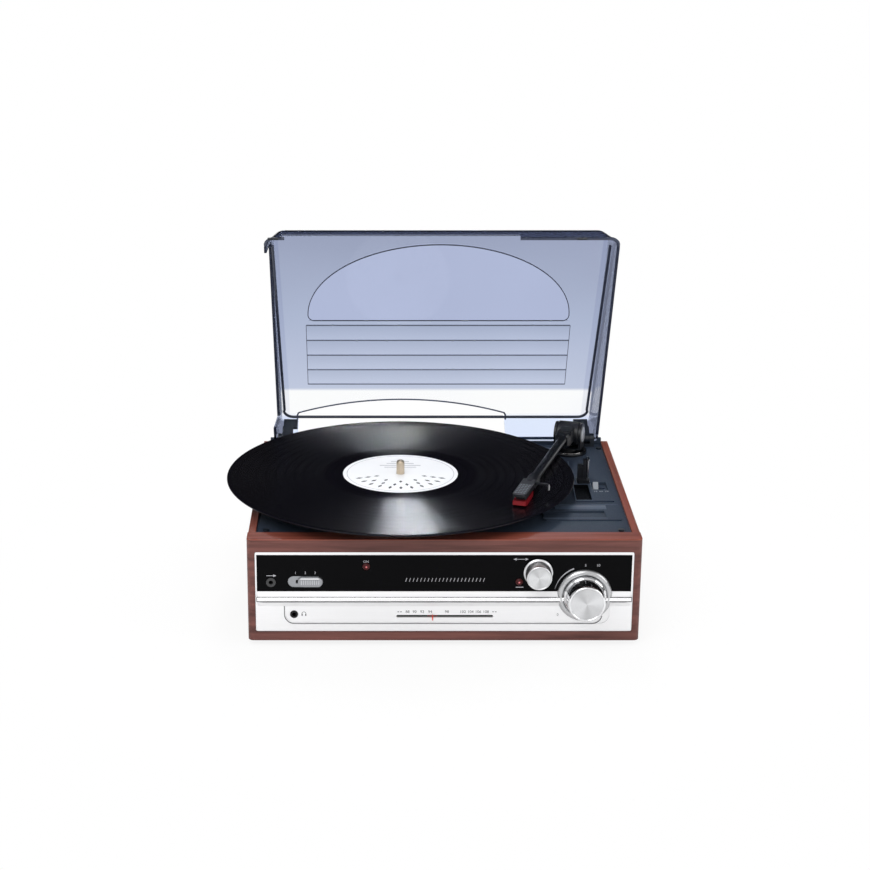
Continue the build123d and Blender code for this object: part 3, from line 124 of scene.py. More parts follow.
def grid_faces(rows, columns, wrap_rows=False, wrap_columns=False):
    """Quads of a grid of points: each joins a point to its next row and its next column."""
    row = np.arange(rows if wrap_rows else rows - 1)
    column = np.arange(columns if wrap_columns else columns - 1)
    i, j = np.meshgrid(row, column, indexing="ij")
    i_next, j_next = (i + 1) % rows, (j + 1) % columns
    corners = (i * columns + j, i_next * columns + j, i_next * columns + j_next, i * columns + j_next)
    return np.stack(corners, axis=-1).reshape(-1, 4)


def make_mesh(name, points, faces, smooth=True, corner_uv=None):
    """A mesh from arrays of points and faces, with an optional UV for each face corner."""
    mesh = bpy.data.meshes.new(name)
    mesh.from_pydata(points.reshape(-1, 3).tolist(), [], faces.tolist())
    if corner_uv is not None:
        layer = mesh.uv_layers.new(name="UVMap")
        layer.data.foreach_set("uv", corner_uv.astype(np.float32).ravel())
    mesh.polygons.foreach_set("use_smooth", np.full(len(mesh.polygons), smooth))
    mesh.update()
    return mesh


def close_up(mesh, distance=1e-6):
    """Merge doubled points, drop flat faces and point every face outwards."""
    work = bmesh.new()
    work.from_mesh(mesh)
    bmesh.ops.remove_doubles(work, verts=work.verts, dist=distance)
    bmesh.ops.dissolve_degenerate(work, edges=work.edges, dist=distance / 10)
    bmesh.ops.recalc_face_normals(work, faces=work.faces)
    work.to_mesh(mesh)
    work.free()
    mesh.update()


def sharpen(mesh, degrees=35.0):
    """Keep edges sharper than an angle crisp under smooth shading."""
    mesh.set_sharp_from_angle(angle=math.radians(degrees))


def place(name, mesh, body, material, slot, replaces=()):
    """Put a finished mesh in the scene and give it its body and finish."""
    piece = bpy.data.objects.new(name, mesh)
    bpy.context.collection.objects.link(piece)
    mesh.materials.clear()
    mesh.materials.append(material)
    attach(piece, body)
    if replaces:
        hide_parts(*replaces)
    return piece


def turned(profile, centre, axis="Z", steps=96, radius_of=None):
    """Points of a turned shape: each (radius, height) of the profile swept round the axis.

    The angle runs along the rows and the profile along the columns. The axis is Z, or F for one
    that faces the viewer. radius_of(angle, radius, height) may cut ribs or flats.
    """
    profile = np.asarray(profile, float)
    angle = np.linspace(0, TURN, steps, endpoint=False)[:, None]
    radius = np.broadcast_to(profile[None, :, 0], (steps, len(profile)))
    height = np.broadcast_to(profile[None, :, 1], (steps, len(profile)))
    if radius_of is not None:
        radius = radius_of(angle, radius, height)
    across = radius * np.cos(angle)
    along = radius * np.sin(angle)
    if axis == "Z":
        points = np.stack([across, along, height], axis=-1)
    else:
        points = np.stack([across, -height, along], axis=-1)
    return points + np.asarray(centre, float)


def turned_mesh(name, profile, centre, axis="Z", steps=96, closed=False, radius_of=None, crisp=35.0):
    """A turned shape as a closed mesh, with U round the axis and V along the profile."""
    points = turned(profile, centre, axis, steps, radius_of)
    rows, columns = points.shape[:2]
    faces = grid_faces(rows, columns, wrap_rows=True, wrap_columns=closed)
    row = np.repeat(np.arange(rows), columns if closed else columns - 1)
    column = np.tile(np.arange(columns if closed else columns - 1), rows)
    u = np.stack([row, row + 1, row + 1, row], axis=-1) / rows
    v = np.stack([column, column, column + 1, column + 1], axis=-1) / columns
    mesh = make_mesh(name, points, faces, corner_uv=np.stack([u, v], axis=-1))
    close_up(mesh)
    sharpen(mesh, crisp)
    return mesh


def swept_mesh(name, path, outline, up=(0, 0, 1), scale=None, crisp=40.0):
    """A closed outline carried along a path, square to it, with both ends closed by their middles.

    A point of the outline is (sideways, upwards). scale widens or narrows each station.
    """
    path = np.asarray(path, float)
    outline = np.asarray(outline, float)
    ahead = np.gradient(path, axis=0)
    ahead /= np.linalg.norm(ahead, axis=1, keepdims=True)
    side = np.cross(ahead, np.asarray(up, float))
    side /= np.linalg.norm(side, axis=1, keepdims=True)
    rise = np.cross(side, ahead)
    size = np.ones(len(path)) if scale is None else np.asarray(scale, float)
    points = path[:, None] + size[:, None, None] * (
        side[:, None] * outline[None, :, :1] + rise[:, None] * outline[None, :, 1:]
    )
    first = np.repeat(points[:1].mean(axis=1, keepdims=True), len(outline), axis=1)
    last = np.repeat(points[-1:].mean(axis=1, keepdims=True), len(outline), axis=1)
    points = np.concatenate([first, points, last])
    mesh = make_mesh(name, points, grid_faces(len(points), len(outline), wrap_columns=True))
    close_up(mesh)
    sharpen(mesh, crisp)
    return mesh


def ribbon(name, path, width, height, out):
    """A flat strip along a path, raised by height from the face that out stands on."""
    half = width / 2
    outline = [(-half, 0.0), (half, 0.0), (half * 0.8, height), (-half * 0.8, height)]
    return swept_mesh(name, path, outline, up=out)


def bead(name, path, radius, out, steps=10):
    """A round bead along a path."""
    angle = np.linspace(0, TURN, steps, endpoint=False)
    return swept_mesh(name, path, np.stack([np.cos(angle), np.sin(angle)], axis=-1) * radius, up=out)


def arc(centre, radius, start, stop, right, up, steps=24):
    """Points of an arc, in degrees from right towards up."""
    angle = np.radians(np.linspace(start, stop, steps))[:, None]
    return np.asarray(centre) + radius * (np.cos(angle) * np.asarray(right) + np.sin(angle) * np.asarray(up))


def joined(name, meshes):
    """One mesh from several, in order."""
    work = bmesh.new()
    for mesh in meshes:
        work.from_mesh(mesh)
        bpy.data.meshes.remove(mesh)
    whole = bpy.data.meshes.new(name)
    work.to_mesh(whole)
    work.free()
    whole.update()
    return whole


def lettering(text, size, origin, right, up, depth):
    """Raised characters: their outline lies in the plane of right and up, centred on origin."""
    curve = bpy.data.curves.new("lettering", type="FONT")
    curve.body = text
    curve.size = size
    curve.align_x = "CENTER"
    curve.align_y = "CENTER"
    curve.extrude = depth / 2
    curve.resolution_u = 3
    holder = bpy.data.objects.new("lettering", curve)
    bpy.context.collection.objects.link(holder)
    flat = bpy.data.meshes.new_from_object(holder.evaluated_get(bpy.context.evaluated_depsgraph_get()))
    bpy.data.objects.remove(holder)
    bpy.data.curves.remove(curve)
    count = len(flat.vertices)
    local = np.empty(count * 3)
    flat.vertices.foreach_get("co", local)
    local = local.reshape(-1, 3)
    right, up = np.asarray(right, float), np.asarray(up, float)
    out = np.cross(right, up)
    world = np.asarray(origin, float) + local[:, :1] * right + local[:, 1:2] * up + local[:, 2:] * out
    flat.vertices.foreach_set("co", world.ravel())
    flat.update()
    return flat


# ---------------------------------------------------------------- finishes


def start_finish(name):
    """A new material with its node tree and its shader."""
    material = bpy.data.materials.new(name)
    material.use_nodes = True
    tree = material.node_tree
    return material, tree, tree.nodes["Principled BSDF"]


def add_node(tree, kind, inputs=None, **settings):
    """A node with its settings and its inputs, each a value or the socket that feeds it."""
    node = tree.nodes.new(kind)
    for key, value in settings.items():
        setattr(node, key, value)
    for key, value in (inputs or {}).items():
        if isinstance(value, bpy.types.NodeSocket):
            tree.links.new(value, node.inputs[key])
        else:
            node.inputs[key].default_value = value
    return node


def set_shader(shader, color=None, **values):
    """Constants on the shader's own sockets, named with underscores for spaces."""
    if color is not None:
        shader.inputs["Base Color"].default_value = (*color, 1)
    for key, value in values.items():
        shader.inputs[key.replace("_", " ")].default_value = value


def object_pattern(tree, scale, turn=(0, 0, 0)):
    """Object coordinates, turned and scaled along each axis."""
    coordinate = add_node(tree, "ShaderNodeTexCoord")
    mapping = add_node(
        tree,
        "ShaderNodeMapping",
        {"Vector": coordinate.outputs["Object"], "Scale": scale, "Rotation": turn},
    )
    return mapping.outputs["Vector"]


def speckle(tree, vector, scale, detail=4.0, roughness=0.6, distortion=0.0):
    """A noise value along a pattern."""
    return add_node(
        tree,
        "ShaderNodeTexNoise",
        {
            "Vector": vector,
            "Scale": scale,
            "Detail": detail,
            "Roughness": roughness,
            "Distortion": distortion,
        },
    ).outputs["Fac"]


def ramp(tree, value, stops):
    """A colour read from a value: stops are (place, colour)."""
    node = add_node(tree, "ShaderNodeValToRGB", {"Fac": value})
    elements = node.color_ramp.elements
    while len(elements) < len(stops):
        elements.new(0.5)
    for element, (position, color) in zip(elements, stops):
        element.position = position
        element.color = (*color, 1)
    return node.outputs["Color"]


def band(tree, value, low, high, to_low, to_high):
    """A value carried from one range to another and held at its ends."""
    return add_node(
        tree,
        "ShaderNodeMapRange",
        {"Value": value, "From Min": low, "From Max": high, "To Min": to_low, "To Max": to_high},
    ).outputs["Result"]


def calc(tree, operation, first, second=0.0):
    """One step of arithmetic on values or sockets."""
    return add_node(tree, "ShaderNodeMath", {0: first, 1: second}, operation=operation).outputs["Value"]


def along(tree, direction, origin):
    """How far a point lies along a direction from an origin, in metres."""
    coordinate = add_node(tree, "ShaderNodeTexCoord").outputs["Object"]
    moved = add_node(
        tree, "ShaderNodeVectorMath", {0: coordinate, 1: tuple(float(v) for v in origin)}, operation="SUBTRACT"
    )
    node = add_node(
        tree,
        "ShaderNodeVectorMath",
        {0: moved.outputs["Vector"], 1: tuple(float(v) for v in direction)},
        operation="DOT_PRODUCT",
    )
    return node.outputs["Value"]


def blend(tree, factor, first, second, mode="MIX"):
    """Two colours mixed by a factor: values, or sockets that feed them."""
    node = tree.nodes.new("ShaderNodeMix")
    node.data_type = "RGBA"
    node.blend_type = mode
    for index, value in ((0, factor), (6, first), (7, second)):
        if isinstance(value, bpy.types.NodeSocket):
            tree.links.new(value, node.inputs[index])
        else:
            node.inputs[index].default_value = value if index == 0 else (*value, 1)
    return node.outputs[2]


def relief(tree, shader, height, distance, strength=1.0):
    """Bump on a shader from a height value, distance in metres."""
    bump = add_node(
        tree, "ShaderNodeBump", {"Height": height, "Distance": distance, "Strength": strength}
    )
    tree.links.new(bump.outputs["Normal"], shader.inputs["Normal"])


def shaded(color, factor):
    """A colour made lighter or darker."""
    return tuple(min(1.0, channel * factor) for channel in color)


def veneer(name, color, grain_axis, lipping):
    """Stained veneer: long streaks along the grain axis, fine dark pores and redder strips on top, with a lighter band
    just under the top edge as painted highlight on its rounded corner.
    """
    material, tree, shader = start_finish(name)
    stretch = [1.0, 1.0, 1.0]
    stretch[grain_axis] = 0.045
    vector = object_pattern(tree, stretch)
    streaks = speckle(tree, vector, 190.0, 6.0, 0.62, 0.35)
    figure = speckle(tree, vector, 34.0, 3.0, 0.5, 1.2)
    pores = speckle(tree, vector, 900.0, 2.0, 0.5)
    tone = ramp(
        tree,
        streaks,
        [(0.28, shaded(color, 0.52)), (0.5, color), (0.72, shaded(color, 1.55))],
    )
    broad = ramp(tree, figure, [(0.3, (0.78, 0.76, 0.75)), (0.7, (1.1, 1.08, 1.06))])
    tone = blend(tree, 0.8, tone, broad, "MULTIPLY")
    top = span("cabinet_front")[1][2]
    high = along(tree, UP, (0, 0, top))
    strip = ramp(tree, streaks, [(0.28, shaded(lipping, 0.7)), (0.5, lipping), (0.72, shaded(lipping, 1.3))])
    tone = blend(tree, band(tree, high, -0.0004, -0.0002, 0.0, 1.0), tone, strip)
    # Painted highlight: a lighter band just under the top edge, where light catches the rounded corner.
    arris_highlight = calc(tree, "MULTIPLY", calc(tree, "GREATER_THAN", high, -0.0007), calc(tree, "LESS_THAN", high, -0.0001))
    tone = blend(tree, calc(tree, "MULTIPLY", arris_highlight, 0.5), tone, shaded(lipping, 2.0))
    tree.links.new(tone, shader.inputs["Base Color"])
    tree.links.new(band(tree, streaks, 0.3, 0.7, 0.5, 0.36), shader.inputs["Roughness"])
    relief(tree, shader, pores, 0.00006, 0.5)
    set_shader(shader, Specular_IOR_Level=0.3)
    return material


def moulded(
    name, color, roughness=0.5, grain=1500.0, depth=0.00002, metallic=0.0, variation=0.12, specular=0.5
):
    """Moulded plastic or paint: a fine even texture and a slight change of tone and gloss."""
    material, tree, shader = start_finish(name)
    vector = object_pattern(tree, (1, 1, 1))
    fine = speckle(tree, vector, grain, 2.0, 0.5)
    broad = speckle(tree, vector, 22.0, 3.0, 0.5)
    tone = ramp(tree, broad, [(0.3, shaded(color, 1 - variation)), (0.7, shaded(color, 1 + variation))])
    tree.links.new(tone, shader.inputs["Base Color"])
    tree.links.new(
        band(tree, fine, 0.3, 0.7, roughness * 0.85, min(1.0, roughness * 1.15)), shader.inputs["Roughness"]
    )
    relief(tree, shader, fine, depth, 0.6)
    set_shader(shader, Metallic=metallic, Specular_IOR_Level=specular)
    return material


def brushed(name, color, axis, roughness=0.3, metallic=1.0, depth=0.000006, contrast=0.06):
    """Brushed metal: fine scratches drawn out along one axis."""
    material, tree, shader = start_finish(name)
    stretch = [1.0, 1.0, 1.0]
    stretch[axis] = 0.01
    vector = object_pattern(tree, stretch)
    scratches = speckle(tree, vector, 2600.0, 3.0, 0.6)
    tone = ramp(tree, scratches, [(0.3, shaded(color, 1 - contrast)), (0.7, shaded(color, 1 + contrast))])
    tree.links.new(tone, shader.inputs["Base Color"])
    tree.links.new(band(tree, scratches, 0.3, 0.7, roughness * 0.8, roughness * 1.25), shader.inputs["Roughness"])
    relief(tree, shader, scratches, depth, 0.5)
    set_shader(shader, Metallic=metallic)
    return material


def spun(name, color, roughness=0.28, anisotropy=0.75, wedges=0.0):
    """Turned metal: fine rings along V of its UV spread its sheen; wedges paints lighter and darker wedges round U into
    its colour as painted sheen.
    """
    material, tree, shader = start_finish(name)
    coordinate = add_node(tree, "ShaderNodeTexCoord").outputs["UV"]
    stretched = add_node(tree, "ShaderNodeMapping", {"Vector": coordinate, "Scale": (0.4, 90.0, 1.0)})
    rings = speckle(tree, stretched.outputs["Vector"], 6.0, 3.0, 0.6)
    tone = ramp(tree, rings, [(0.3, shaded(color, 0.93)), (0.7, shaded(color, 1.04))])
    # Painted sheen: lighter and darker wedges round U, put into the colour in place of the spun face's reflections.
    if wedges:
        u = add_node(tree, "ShaderNodeSeparateXYZ", {"Vector": coordinate}).outputs["X"]
        swing = calc(tree, "ADD", calc(tree, "MULTIPLY", u, 2 * TURN), 0.9)
        finer = calc(tree, "SINE", calc(tree, "MULTIPLY", u, 5 * TURN))
        sheen = calc(tree, "ADD", calc(tree, "SINE", swing), calc(tree, "MULTIPLY", finer, 0.45))
        shades = ramp(
            tree,
            band(tree, sheen, -1.4, 1.4, 0.0, 1.0),
            [(0.0, (1 - wedges,) * 3), (0.5, (1 - wedges * 0.4,) * 3), (1.0, (1.0, 1.0, 1.0))],
        )
        tone = blend(tree, 1.0, tone, shades, "MULTIPLY")
    tree.links.new(tone, shader.inputs["Base Color"])
    tree.links.new(band(tree, rings, 0.3, 0.7, roughness * 0.85, roughness * 1.2), shader.inputs["Roughness"])
    tangent = add_node(tree, "ShaderNodeTangent", direction_type="UV_MAP", uv_map="UVMap")
    tree.links.new(tangent.outputs["Tangent"], shader.inputs["Tangent"])
    set_shader(shader, Metallic=1.0, Anisotropic=anisotropy, Anisotropic_Rotation=0.25)
    return material


def grooved_vinyl(name, color):
    """Pressed vinyl: black, with fine grooves along U that spread its highlights in wedges."""
    material, tree, shader = start_finish(name)
    coordinate = add_node(tree, "ShaderNodeTexCoord").outputs["UV"]
    stretched = add_node(tree, "ShaderNodeMapping", {"Vector": coordinate, "Scale": (0.15, 260.0, 1.0)})
    cuts = speckle(tree, stretched.outputs["Vector"], 3.0, 4.0, 0.7)
    tone = ramp(tree, cuts, [(0.35, shaded(color, 0.6)), (0.7, shaded(color, 1.6))])
    tree.links.new(tone, shader.inputs["Base Color"])
    tree.links.new(band(tree, cuts, 0.35, 0.65, 0.21, 0.26), shader.inputs["Roughness"])
    wide = add_node(tree, "ShaderNodeMapping", {"Vector": coordinate, "Scale": (0.1, 24.0, 1.0)})
    rings = speckle(tree, wide.outputs["Vector"], 3.0, 3.0, 0.7)
    hub = middle("record")
    squares = [calc(tree, "POWER", along(tree, axis, hub), 2.0) for axis in (RIGHT, REAR)]
    radius = calc(tree, "POWER", calc(tree, "ADD", *squares), 0.5)
    track = calc(tree, "FRACT", calc(tree, "DIVIDE", radius, 0.0083))
    grooves = calc(tree, "MULTIPLY", band(tree, rings, 0.35, 0.65, 0.6, 1.3), band(tree, track, 0.1, 0.35, 0.15, 1.1))
    cut = calc(tree, "MULTIPLY", band(tree, radius, 0.0655, 0.067, 0.05, 1.0), band(tree, radius, 0.1460, 0.1475, 1.0, 0.3))
    tree.links.new(calc(tree, "MULTIPLY", grooves, cut), shader.inputs["Specular IOR Level"])
    tangent = add_node(tree, "ShaderNodeTangent", direction_type="UV_MAP", uv_map="UVMap")
    tree.links.new(tangent.outputs["Tangent"], shader.inputs["Tangent"])
    set_shader(shader, Anisotropic=1.0, Anisotropic_Rotation=0.25)
    return material


def smoked_clear(name, color, roughness):
    """Smoked clear plastic, denser to its front, with louvres and a lighter half ellipse moulded in.

    Depth d runs from the hinge to the front and height h from the rim side to the panel. The
    louvres follow the fraction of (d - first) / pitch, lighter at the start of each strip and darker
    at its end as painted light and shade, the side and front walls are darkened as painted shade,
    and the ellipse is (x / a)^2 + ((d - base) / b)^2 < 1.
    """
    material, tree, shader = start_finish(name)
    hinge = middle("hinge_pins")
    across = calc(tree, "ABSOLUTE", along(tree, RIGHT, hinge))
    depth = along(tree, (0, -math.cos(LID_ANGLE), math.sin(LID_ANGLE)), hinge)
    height = along(tree, LID_OUT, hinge)
    smoke = ramp(
        tree,
        band(tree, depth, 0.0, 0.25, 0.0, 1.0),
        [
            (0.0, shaded(color, 2.2)),
            (0.03, (0.97, 0.98, 1.0)),
            (0.148, (0.98, 0.99, 1.0)),
            (0.158, (0.53, 0.585, 0.735)),
            (0.36, (0.475, 0.53, 0.69)),
            (0.5, (0.43, 0.49, 0.65)),
            (0.95, color),
        ],
    )
    # Painted light and shade: each louvre strip runs from lighter to darker across its width.
    turn = calc(tree, "FRACT", calc(tree, "DIVIDE", calc(tree, "SUBTRACT", depth, 0.046), 0.0182))
    louvre_shade = ramp(tree, turn, [(0.0, (1.04, 1.04, 1.04)), (0.85, (0.9, 0.91, 0.92)), (1.0, (0.84, 0.85, 0.87))])
    inside = calc(
        tree,
        "MULTIPLY",
        calc(tree, "LESS_THAN", across, 0.1185),
        calc(
            tree,
            "MULTIPLY",
            calc(tree, "GREATER_THAN", depth, 0.046),
            calc(tree, "LESS_THAN", depth, 0.1188),
        ),
    )
    tone = blend(tree, inside, smoke, blend(tree, 1.0, smoke, louvre_shade, "MULTIPLY"))
    wide = calc(tree, "POWER", calc(tree, "DIVIDE", across, 0.117), 2.0)
    rise = calc(tree, "DIVIDE", calc(tree, "SUBTRACT", depth, 0.131), 0.082)
    within = calc(
        tree,
        "MULTIPLY",
        calc(tree, "LESS_THAN", calc(tree, "ADD", wide, calc(tree, "MULTIPLY", rise, rise)), 1.0),
        calc(tree, "GREATER_THAN", depth, 0.124),
    )
    tone = blend(tree, within, tone, shaded(color, 1.38))
    margin = calc(tree, "SUBTRACT", across, band(tree, depth, 0.045, 0.224, 0.136, 0.140))
    tone = blend(tree, band(tree, margin, 0.0, 0.0012, 0.0, 0.85), tone, blend(tree, 1.0, tone, (0.84, 0.85, 0.9), "MULTIPLY"))
    # Painted shade: the side and front walls are given darker copies of the tint.
    walls = calc(tree, "LESS_THAN", height, 0.0215)
    side_wall_shade = calc(tree, "MULTIPLY", walls, calc(tree, "GREATER_THAN", across, 0.139))
    tone = blend(tree, side_wall_shade, tone, shaded(color, 0.62))
    front = calc(tree, "MULTIPLY", walls, calc(tree, "GREATER_THAN", depth, 0.215))
    tone = blend(tree, front, tone, shaded(color, 0.66))
    haze = speckle(tree, object_pattern(tree, (1, 1, 1)), 9.0, 2.0, 0.5)
    shades = ramp(tree, haze, [(0.25, (0.97, 0.97, 0.97)), (0.75, (1.03, 1.03, 1.03))])
    tree.links.new(blend(tree, 1.0, tone, shades, "MULTIPLY"), shader.inputs["Base Color"])
    tree.links.new(band(tree, haze, 0.3, 0.7, roughness, roughness * 1.4), shader.inputs["Roughness"])
    set_shader(shader, Transmission_Weight=1.0, IOR=1.2)
    passing = add_node(tree, "ShaderNodeBsdfTransparent", {"Color": (0.90, 0.92, 0.96, 1)}).outputs[0]
    shadow = add_node(tree, "ShaderNodeLightPath").outputs["Is Shadow Ray"]
    mix = add_node(tree, "ShaderNodeMixShader", {0: shadow, 1: shader.outputs[0], 2: passing})
    tree.links.new(mix.outputs[0], tree.nodes["Material Output"].inputs["Surface"])
    return material


def glowing(name, color, strength):
    """A lit indicator lens: coloured plastic with a little light of its own; on the lights' pale tips it makes a
    glowing painted highlight.
    """
    material, tree, shader = start_finish(name)
    vector = object_pattern(tree, (1, 1, 1))
    grain = speckle(tree, vector, 700.0, 2.0, 0.5)
    tone = ramp(tree, grain, [(0.3, shaded(color, 0.75)), (0.7, shaded(color, 1.1))])
    tree.links.new(tone, shader.inputs["Base Color"])
    tree.links.new(tone, shader.inputs["Emission Color"])
    set_shader(shader, Emission_Strength=strength, Roughness=0.3, Specular_IOR_Level=0.25, Coat_Weight=0.1)
    return material


def dress(material, *nodes):
    """Give CAD nodes a finish."""
    for name in nodes:
        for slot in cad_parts[name].material_slots:
            slot.material = material


# ---------------------------------------------------------------- settings


def colour(name, description, default):
    """A colour property."""
    return FloatVectorProperty(
        name=name, description=description, default=default, subtype="COLOR", size=3, min=0, max=1
    )


def length(name, description, default):
    """A length property in metres."""
    return FloatProperty(
        name=name, description=description, default=default, subtype="DISTANCE", unit="LENGTH", precision=5
    )


class CabinetSettings(bpy.types.PropertyGroup):
    """Wood, boards, feet and fixings."""

    wood: colour("Wood", "Stain of the veneer", (0.135, 0.050, 0.042))
    lipping: colour("Lipping", "Stain of the strips along the top edges", (0.205, 0.053, 0.034))
    board: colour("Board", "Colour of the plain boards", (0.30, 0.21, 0.13))
    steel: colour("Steel", "Colour of the zinc plated screws", (0.62, 0.62, 0.64))
    rubber: colour("Rubber", "Colour of the feet, mat and belt", (0.018, 0.018, 0.019))


class DeckSettings(bpy.types.PropertyGroup):
    """Deck moulding and its marks."""

    plastic: colour("Deck", "Colour of the deck moulding", (0.029, 0.041, 0.063))
    mark: colour("Marks", "Colour of the printed marks", (0.34, 0.38, 0.42))
    mark_size: length("Mark size", "Height of the speed numbers", 0.0034)


class RecordSettings(bpy.types.PropertyGroup):
    """Record, label and spindle."""

    vinyl: colour("Vinyl", "Colour of the record", (0.004, 0.0036, 0.006))
    label: colour("Label", "Ground colour of the label", (0.90, 0.90, 0.89))
    ink: colour("Ink", "Colour of the label's dark print", (0.03, 0.03, 0.035))
    faint_ink: colour("Faint ink", "Colour of the label's light print", (0.42, 0.42, 0.43))
    groove_pitch: length("Groove pitch", "Distance between the modelled groove ridges", 0.0016)
    groove_depth: length("Groove depth", "Depth of the modelled grooves", 0.00006)
    tracks: IntProperty(name="Tracks", description="Number of recorded bands", default=6, min=1, max=12)


class TonearmSettings(bpy.types.PropertyGroup):
    """Tonearm finishes."""

    black: colour("Black", "Colour of the arm's mouldings", (0.0060, 0.0072, 0.0102))
    stylus: colour("Stylus", "Colour of the stylus holder", (0.20, 0.005, 0.010))
    cap: colour("Cap", "Colour of the pivot's end cap", (0.30, 0.32, 0.35))
    ribs: IntProperty(name="Ribs", description="Ribs across the headshell", default=6, min=0, max=12)


class LidSettings(bpy.types.PropertyGroup):
    """Smoked lid and its hinges."""

    tint: colour("Tint", "Tint of the clear lid at its front", (0.32, 0.36, 0.50))
    line: colour("Line", "Colour of the moulded lines and edges", (0.022, 0.028, 0.050))
    haze: FloatProperty(name="Haze", description="Roughness of the lid", default=0.05, min=0, max=1)
    line_radius: length("Line radius", "Radius of the moulded lines", 0.00042)


class FasciaSettings(bpy.types.PropertyGroup):
    """Fascia, knobs and their marks."""

    silver: colour("Silver", "Colour of the bezel", (0.90, 0.90, 0.91))
    panel: colour("Panel", "Colour of the gloss panel", (0.0014, 0.0014, 0.0018))
    knob: colour("Knob", "Colour of the spun knobs", (0.86, 0.865, 0.88))
    light: colour("Light", "Colour of the indicator lights", (0.11, 0.003, 0.005))
    print_light: colour("Light print", "Print on the black panel", (0.42, 0.42, 0.45))
    print_dark: colour("Dark print", "Print on the silver field", (0.06, 0.06, 0.065))
    number_size: length("Number size", "Height of the dial's numbers", 0.0034)


class StageSettings(bpy.types.PropertyGroup):
    """Camera, lamps and floor."""

    lens: FloatProperty(name="Lens", description="Focal length in millimetres", default=80.64)
    camera_place: FloatVectorProperty(
        name="Camera", description="Place of the camera", default=(-0.05483, -1.60424, 0.65786), unit="LENGTH"
    )
    camera_pitch: FloatProperty(
        name="Pitch", description="How far the camera looks down", default=math.radians(18.0), unit="ROTATION"
    )
    camera_shift: FloatProperty(name="Shift", description="Sideways shift of the view", default=0.0666)
    soft_light: FloatProperty(name="Soft light", description="Strength of the surroundings", default=0.74, min=0)


SETTINGS = {
    "cabinet": CabinetSettings,
    "deck": DeckSettings,
    "record": RecordSettings,
    "tonearm": TonearmSettings,
    "lid": LidSettings,
    "fascia": FasciaSettings,
    "stage": StageSettings,
}


class MusicCentreSettings(bpy.types.PropertyGroup):
    """All settings of the music centre."""

    cabinet: PointerProperty(type=CabinetSettings, name="Cabinet", description="Cabinet settings")
    deck: PointerProperty(type=DeckSettings, name="Deck", description="Deck settings")
    record: PointerProperty(type=RecordSettings, name="Record", description="Record settings")
    tonearm: PointerProperty(type=TonearmSettings, name="Tonearm", description="Tonearm settings")
    lid: PointerProperty(type=LidSettings, name="Lid", description="Lid settings")
    fascia: PointerProperty(type=FasciaSettings, name="Fascia", description="Fascia settings")
    stage: PointerProperty(type=StageSettings, name="Stage", description="Stage settings")


class BuildOperator(bpy.types.Operator):
    """Base of the operators: each builds its pieces from its own settings."""

    bl_options = {"REGISTER", "UNDO"}
    group = ""

    def execute(self, context):
        self.build(getattr(context.scene.music_centre, self.group))
        return {"FINISHED"}


# ---------------------------------------------------------------- operators


